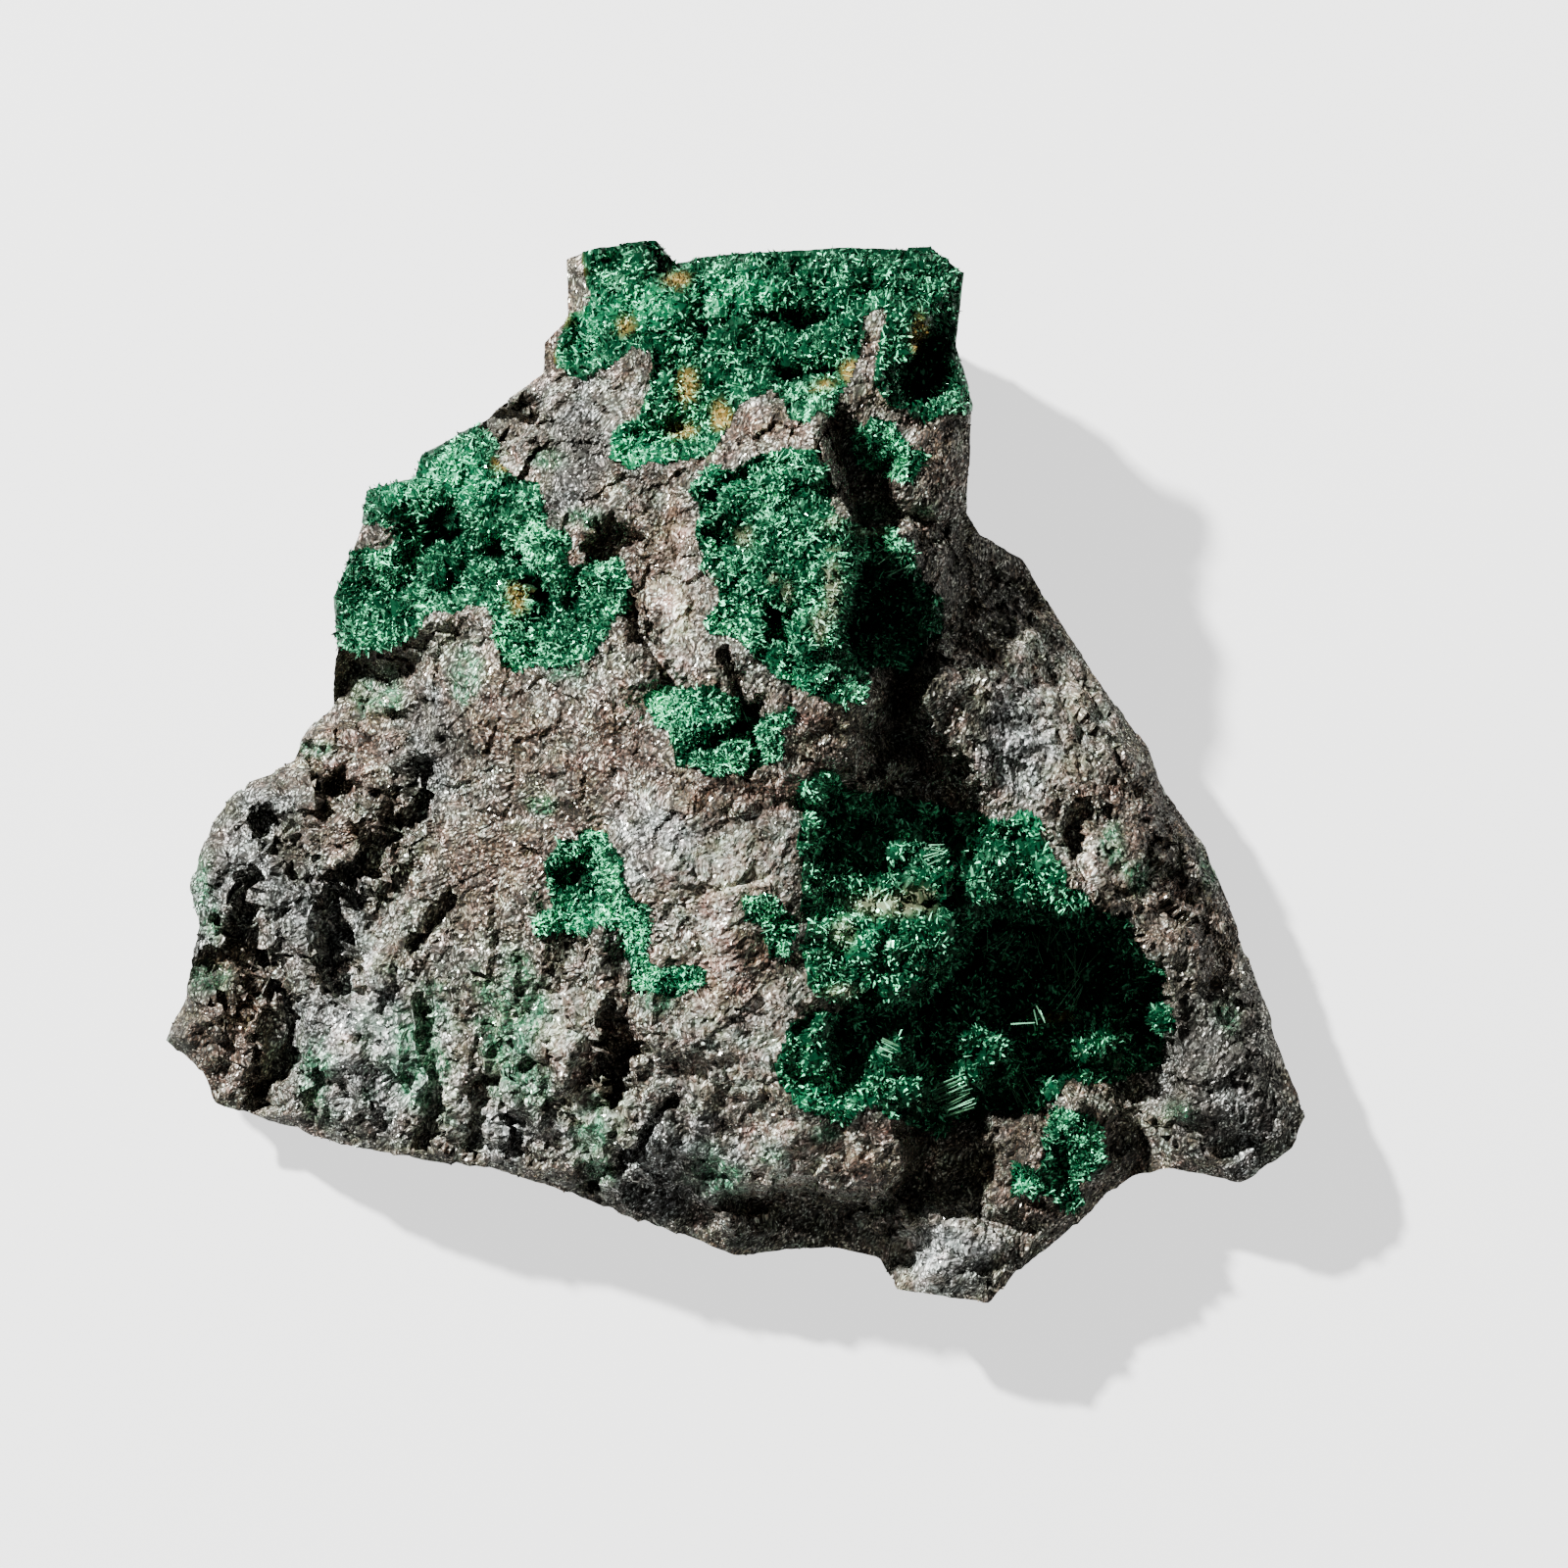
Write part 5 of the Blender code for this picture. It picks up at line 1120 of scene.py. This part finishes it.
def build_crust_material():
    """Brochantite: each crystal takes its green from a ramp of nearly black to emerald by the mesh's tint,
    which holds painted light, painted shade and painted glints besides a random part, or in their own areas
    from one of mint green, cream or rust. Small facets lean the surface, and some are polished.
    """
    material, tree, shader = new_material("brochantite_crystals")
    facets = add_facets(tree, CRYSTAL_FACET, 0.35)
    random = times(tree, facets["Random"], 0.2)
    random = arithmetic(tree, "ADD", times(tree, mask(tree, "tint"), 0.8), random)
    colour = ramp(tree, random, [(0.0, (0.000, 0.003, 0.0012)), (0.34, (0.000, 0.016, 0.006)),
                                 (0.50, (0.011, 0.068, 0.033)), (0.64, (0.046, 0.20, 0.102)),
                                 (0.76, (0.105, 0.51, 0.26)), (0.86, (0.15, 0.90, 0.44)),
                                 (1.0, (0.30, 1.0, 0.58))])
    mint = ramp(tree, random, [(0.0, (0.002, 0.016, 0.007)), (0.32, (0.006, 0.11, 0.045)),
                               (0.58, (0.06, 0.38, 0.20)), (0.82, (0.15, 0.77, 0.41)),
                               (1.0, (0.34, 1.0, 0.61))])
    cream = ramp(tree, random, [(0.0, (0.06, 0.055, 0.03)), (0.4, (0.32, 0.33, 0.20)),
                                (1.0, (0.95, 0.95, 0.80))])
    rust = ramp(tree, random, [(0.0, (0.05, 0.028, 0.006)), (0.6, (0.25, 0.145, 0.035)),
                               (1.0, (0.60, 0.46, 0.20))])
    for label, tone in (("mint", mint), ("cream", cream), ("rust", rust)):
        colour = mix_colour(tree, mask(tree, label), colour, tone)
    glint = polished_grains(tree, 0.70, CRYSTAL_FACET)
    set_inputs(tree, shader, {
        "Base Color": colour,
        "Roughness": arithmetic(tree, "SUBTRACT", 0.40, times(tree, glint, 0.26)),
        "Specular IOR Level": arithmetic(tree, "ADD", 0.12, times(tree, glint, 0.7)),
        "Normal": facets["Normal"],
        "IOR": 1.78,
        "Specular Tint": (0.26, 1.0, 0.52, 1),
    })
    return material


crust_material = build_crust_material()

# Where the crystals are mint green (partly painted light on lit crust), stained with rust, or cream.
MINT_AND_PAINTED_LIGHT_SPOTS = [
    (-21.5, 23.5, 3.5, 2.2), (-27, 23, 2.5, 1.5), (-19, 22.5, 2.5, 1.2), (-7, 36.5, 4, 2),
    (0, 37.5, 4, 2), (-3, 4.5, 2.5, 1.4), (12, -4, 4, 2), (-12, 34.5, 1.6, 2.5), (-8, 25, 2, 1.5),
    (-1, 23, 2, 1.2), (9, -12, 5, 2), (7.5, -0.5, 2.5, 1.2), (23, -3.5, 1.6, 1.4), (-6, 5, 1.6, 1.2),
    (-12, -11.5, 4, 1.4), (-7.6, -13, 1.2, 3), (-5, -16, 3, 1), (22, -32, 1.6, 1.2), (6, -25, 2.5, 1.6),
    (4, 6.5, 2, 1.2), (14, 26, 1.2, 1.8), (13, 10, 1.4, 3),
]
RUST_SPOTS = [
    (-4.5, 38.5, 1.2, 0.8), (-3.7, 30.2, 1.0, 1.6), (6.8, 30.3, 1.2, 0.7), (-4, 26.7, 1.2, 0.6),
    (-1, 28, 0.9, 1.2), (-17, 13.2, 0.8, 1.4), (-8.5, 35, 0.8, 1.0), (14.5, 34, 0.7, 1.4),
    (-13.5, 36, 0.8, 1.2), (-18, 24.3, 1.2, 0.8), (9, 31.5, 0.8, 0.9), (26.0, -19.2, 1.3, 0.4),
    (-12.4, 38.4, 0.7, 2.0), (-14.4, 32.8, 0.5, 1.2),
]
CREAM_SPOTS = [
    (7.7, 14.0, 0.6, 2.6), (6.7, 11.2, 0.5, 1.4), (0.8, 18.4, 0.7, 0.8), (3.0, 15.2, 0.5, 0.5),
    (4.1, 14.0, 0.4, 1.0), (-2.0, 15.0, 0.6, 0.7), (12.5, -10.2, 3.5, 0.9), (14.5, -9.4, 1.5, 0.6),
    (8.5, -12.5, 1.2, 1.2), (8.4, -17.0, 2.0, 0.7), (27.5, -25.2, 0.4, 1.0), (27.4, -22.0, 0.3, 0.3),
    (7.5, 19.6, 0.8, 0.5), (10.6, 18.9, 1.4, 0.4),
]


def lean_axes(normals, random):
    """Crystal axes: a random direction along the surface plus the normal times a random share."""
    along = unit(np.cross(normals, unit_vectors(len(normals), random)))
    return unit(along + normals * random.uniform(0.25, 2.2, (len(normals), 1)))


def crystal_tints(feet, height, openness, random):
    """How light each crystal is, from 0 to 1: a random part, more on high ground and a little more in the
    mint spots as painted light, noise of two sizes, less where the druse is open and in the spots of painted
    shade as painted shade, and a few as light as can be as painted glints.
    """
    lit = (0.06 + 0.88 * random.random(len(feet)) + 0.50 * height + 0.24 * ripple(feet, 1.2, 151)
           + 0.20 * ripple(feet, 3.1, 152) - 0.9 * openness)
    lit = lit - 0.22 * spot_mask(feet, PAINTED_SHADE_SPOTS, 49) + 0.08 * spot_mask(feet, MINT_AND_PAINTED_LIGHT_SPOTS, 71)
    return np.where(random.random(len(feet)) < PAINTED_GLINT_SHARE, 1.0, np.clip(lit, 0, 0.97))


def build_druse(name, number):
    """One druse: its shell and the crystals scattered over it, as one mesh."""
    random = np.random.default_rng(200 + number)
    shell, shell_faces, top_count, rise, void = crust_shell(name)
    top_faces = shell_faces[:top_count]
    corners = shell[top_faces]
    diagonals = np.cross(corners[:, 2] - corners[:, 0], corners[:, 3] - corners[:, 1])
    area = np.linalg.norm(diagonals, axis=1).sum() / 2
    room = (TRIANGLE_LIMIT - 2 * len(shell_faces)) // CRYSTAL_TRIANGLES
    count = min(int(area * CRYSTALS_PER_MM2), room)
    open_share = void[top_faces].mean(axis=1)
    feet, normals, chosen = scatter(shell, top_faces, 1 - 0.75 * open_share, count, random)
    axes = lean_axes(normals, random)
    lengths = random.uniform(*CRYSTAL_LENGTH, count)
    widths = random.uniform(*CRYSTAL_WIDTH, count)
    blade = random.random(count) < BLADE_SHARE
    lengths = np.where(blade, 0.25 + 1.3 * lengths, lengths)
    widths = np.where(blade, 0.6 * widths, widths)
    feet = feet + normals * random.uniform(-0.05, 0.22, (count, 1))

    # Near the outline some crystals are left out, so that its edge is ragged.
    tips = (feet + axes * lengths[:, None])[:, :2]
    kept = depth_inside(tips, OUTLINE_XY) > random.uniform(-0.3, 0.2, count) + 0.4 * ripple(feet, 1.5, 66)
    feet, axes, lengths, widths, chosen = (part[kept] for part in (feet, axes, lengths, widths, chosen))
    points, three, four = crystal_solids(feet, axes, lengths, widths, random)
    # Crystals on high ground are lighter, as painted light.
    height = rise[top_faces[chosen]].mean(axis=1) - 0.5
    lit = crystal_tints(feet, height, open_share[chosen], random)
    every = np.clip(np.concatenate([shell, points]), BOX_LOW, BOX_HIGH)
    faces = [shell_faces, three + len(shell), four + len(shell)]
    # The base's tint is lighter on its lumps and darker in its open gaps, as painted light and shade.
    masks = {
        "tint": np.concatenate([np.clip(0.35 * rise - void, 0, 1), np.repeat(lit, 5)]),
        "mint": 0.6 * spot_mask(every, MINT_AND_PAINTED_LIGHT_SPOTS, 71),
        "rust": 0.8 * spot_mask(every, RUST_SPOTS, 73),
        "cream": 0.45 * spot_mask(every, CREAM_SPOTS, 75),
    }
    new_piece(f"druse_{name}_crystals", every, faces, crust_material, "brochantite", [f"druse_{name}"],
              **masks)


for number, name in enumerate(DRUSES):
    build_druse(name, number)

# ====================================================================================================
# Longer crystals of brochantite in the great hollow: loose needles and laths, and one fan of parallel laths.
# Each group has its middle, direction, length, width, count, spread to each side and uneven direction.
# ====================================================================================================
NEEDLES = [
    ((17.2, -25.2, 14.6), (0.93, 0.37, 0.05), 3.0, 0.15, 16, 1.3, 0.05),
    ((22.4, -19.7, 14.8), (1.0, 0.06, 0.0), 2.4, 0.11, 1, 0.0, 0.0),
    ((23.9, -18.9, 14.0), (0.35, -0.90, 0.2), 1.7, 0.10, 3, 0.3, 0.2),
    ((22.6, -25.0, 10.5), (0.45, -0.85, 0.1), 2.6, 0.11, 6, 0.8, 0.12),
    ((26.8, -17.4, 9.5), (0.50, 0.85, 0.2), 2.8, 0.11, 4, 0.5, 0.1),
    ((26.5, -15.0, 8.5), (0.10, 1.00, 0.3), 4.0, 0.10, 9, 1.0, 0.25),
    ((25.0, -12.8, 9.5), (-0.50, 0.80, 0.3), 3.0, 0.09, 10, 1.6, 0.5),
    ((21.5, -13.5, 9.5), (0.30, 0.90, 0.3), 3.0, 0.09, 10, 1.6, 0.5),
    ((15.6, -15.2, 19.5), (1.0, 0.2, 0.0), 1.6, 0.12, 4, 0.4, 0.2),
    ((15.6, -6.2, 23.6), (0.95, 0.20, 0.0), 1.5, 0.12, 8, 0.8, 0.25),
    ((12.0, -21.4, 21.0), (0.9, -0.35, 0.1), 1.4, 0.13, 7, 0.6, 0.2),
    ((10.2, -2.8, 23.4), (0.4, 0.9, 0.2), 1.5, 0.12, 8, 1.6, 0.5),
    ((12.4, 16.6, 29.5), (0.85, 0.5, 0.1), 2.6, 0.10, 6, 1.0, 0.5),
]


def laths(middles, directions, lengths, widths, random):
    """Long flat bars that taper to one end: eight points and six sides each."""
    side, other = across(directions, random)
    half, width = lengths[:, None] / 2, widths[:, None] / 2
    corners = ((1, 0.4), (-1, 0.4), (-1, -0.4), (1, -0.4))
    points = [middles + directions * half * end + (side * a + other * b) * width * share
              for end, share in ((-1, 1.0), (1, 0.45)) for a, b in corners]
    pattern = np.array([(3, 2, 1, 0), (4, 5, 6, 7), (0, 1, 5, 4), (1, 2, 6, 5), (2, 3, 7, 6), (3, 0, 4, 7)])
    faces = pattern[None] + 8 * np.arange(len(middles))[:, None, None]
    return np.stack(points, axis=1).reshape(-1, 3), faces.reshape(-1, 4)


def build_needles():
    """All the groups of needles as one piece, with a random tint for each needle."""
    random = np.random.default_rng(301)
    middles, directions, lengths, widths = [], [], [], []
    for middle, direction, length, width, count, spread, uneven in NEEDLES:
        directions.append(unit(np.array(direction) + uneven * random.normal(size=(count, 3))))
        level = np.array([-direction[1], direction[0], 0.15])
        middles.append(np.array(middle) + level * np.linspace(-spread, spread, count)[:, None]
                       + 0.12 * random.normal(size=(count, 3)))
        lengths.append(length * random.uniform(0.6, 1.1, count))
        widths.append(width * random.uniform(0.7, 1.1, count))
    parts = [np.concatenate(part) for part in (middles, directions, lengths, widths)]
    points, faces = laths(*parts, random)
    points = np.clip(points, BOX_LOW, BOX_HIGH)
    tint = np.repeat(random.uniform(0.36, 0.70, len(points) // 8), 8)
    even = np.ones(len(points))
    new_piece("hollow_needles", points, [faces], crust_material, "brochantite", [],
              tint=tint, mint=0.3 * even, rust=0 * even, cream=0.1 * even)


build_needles()
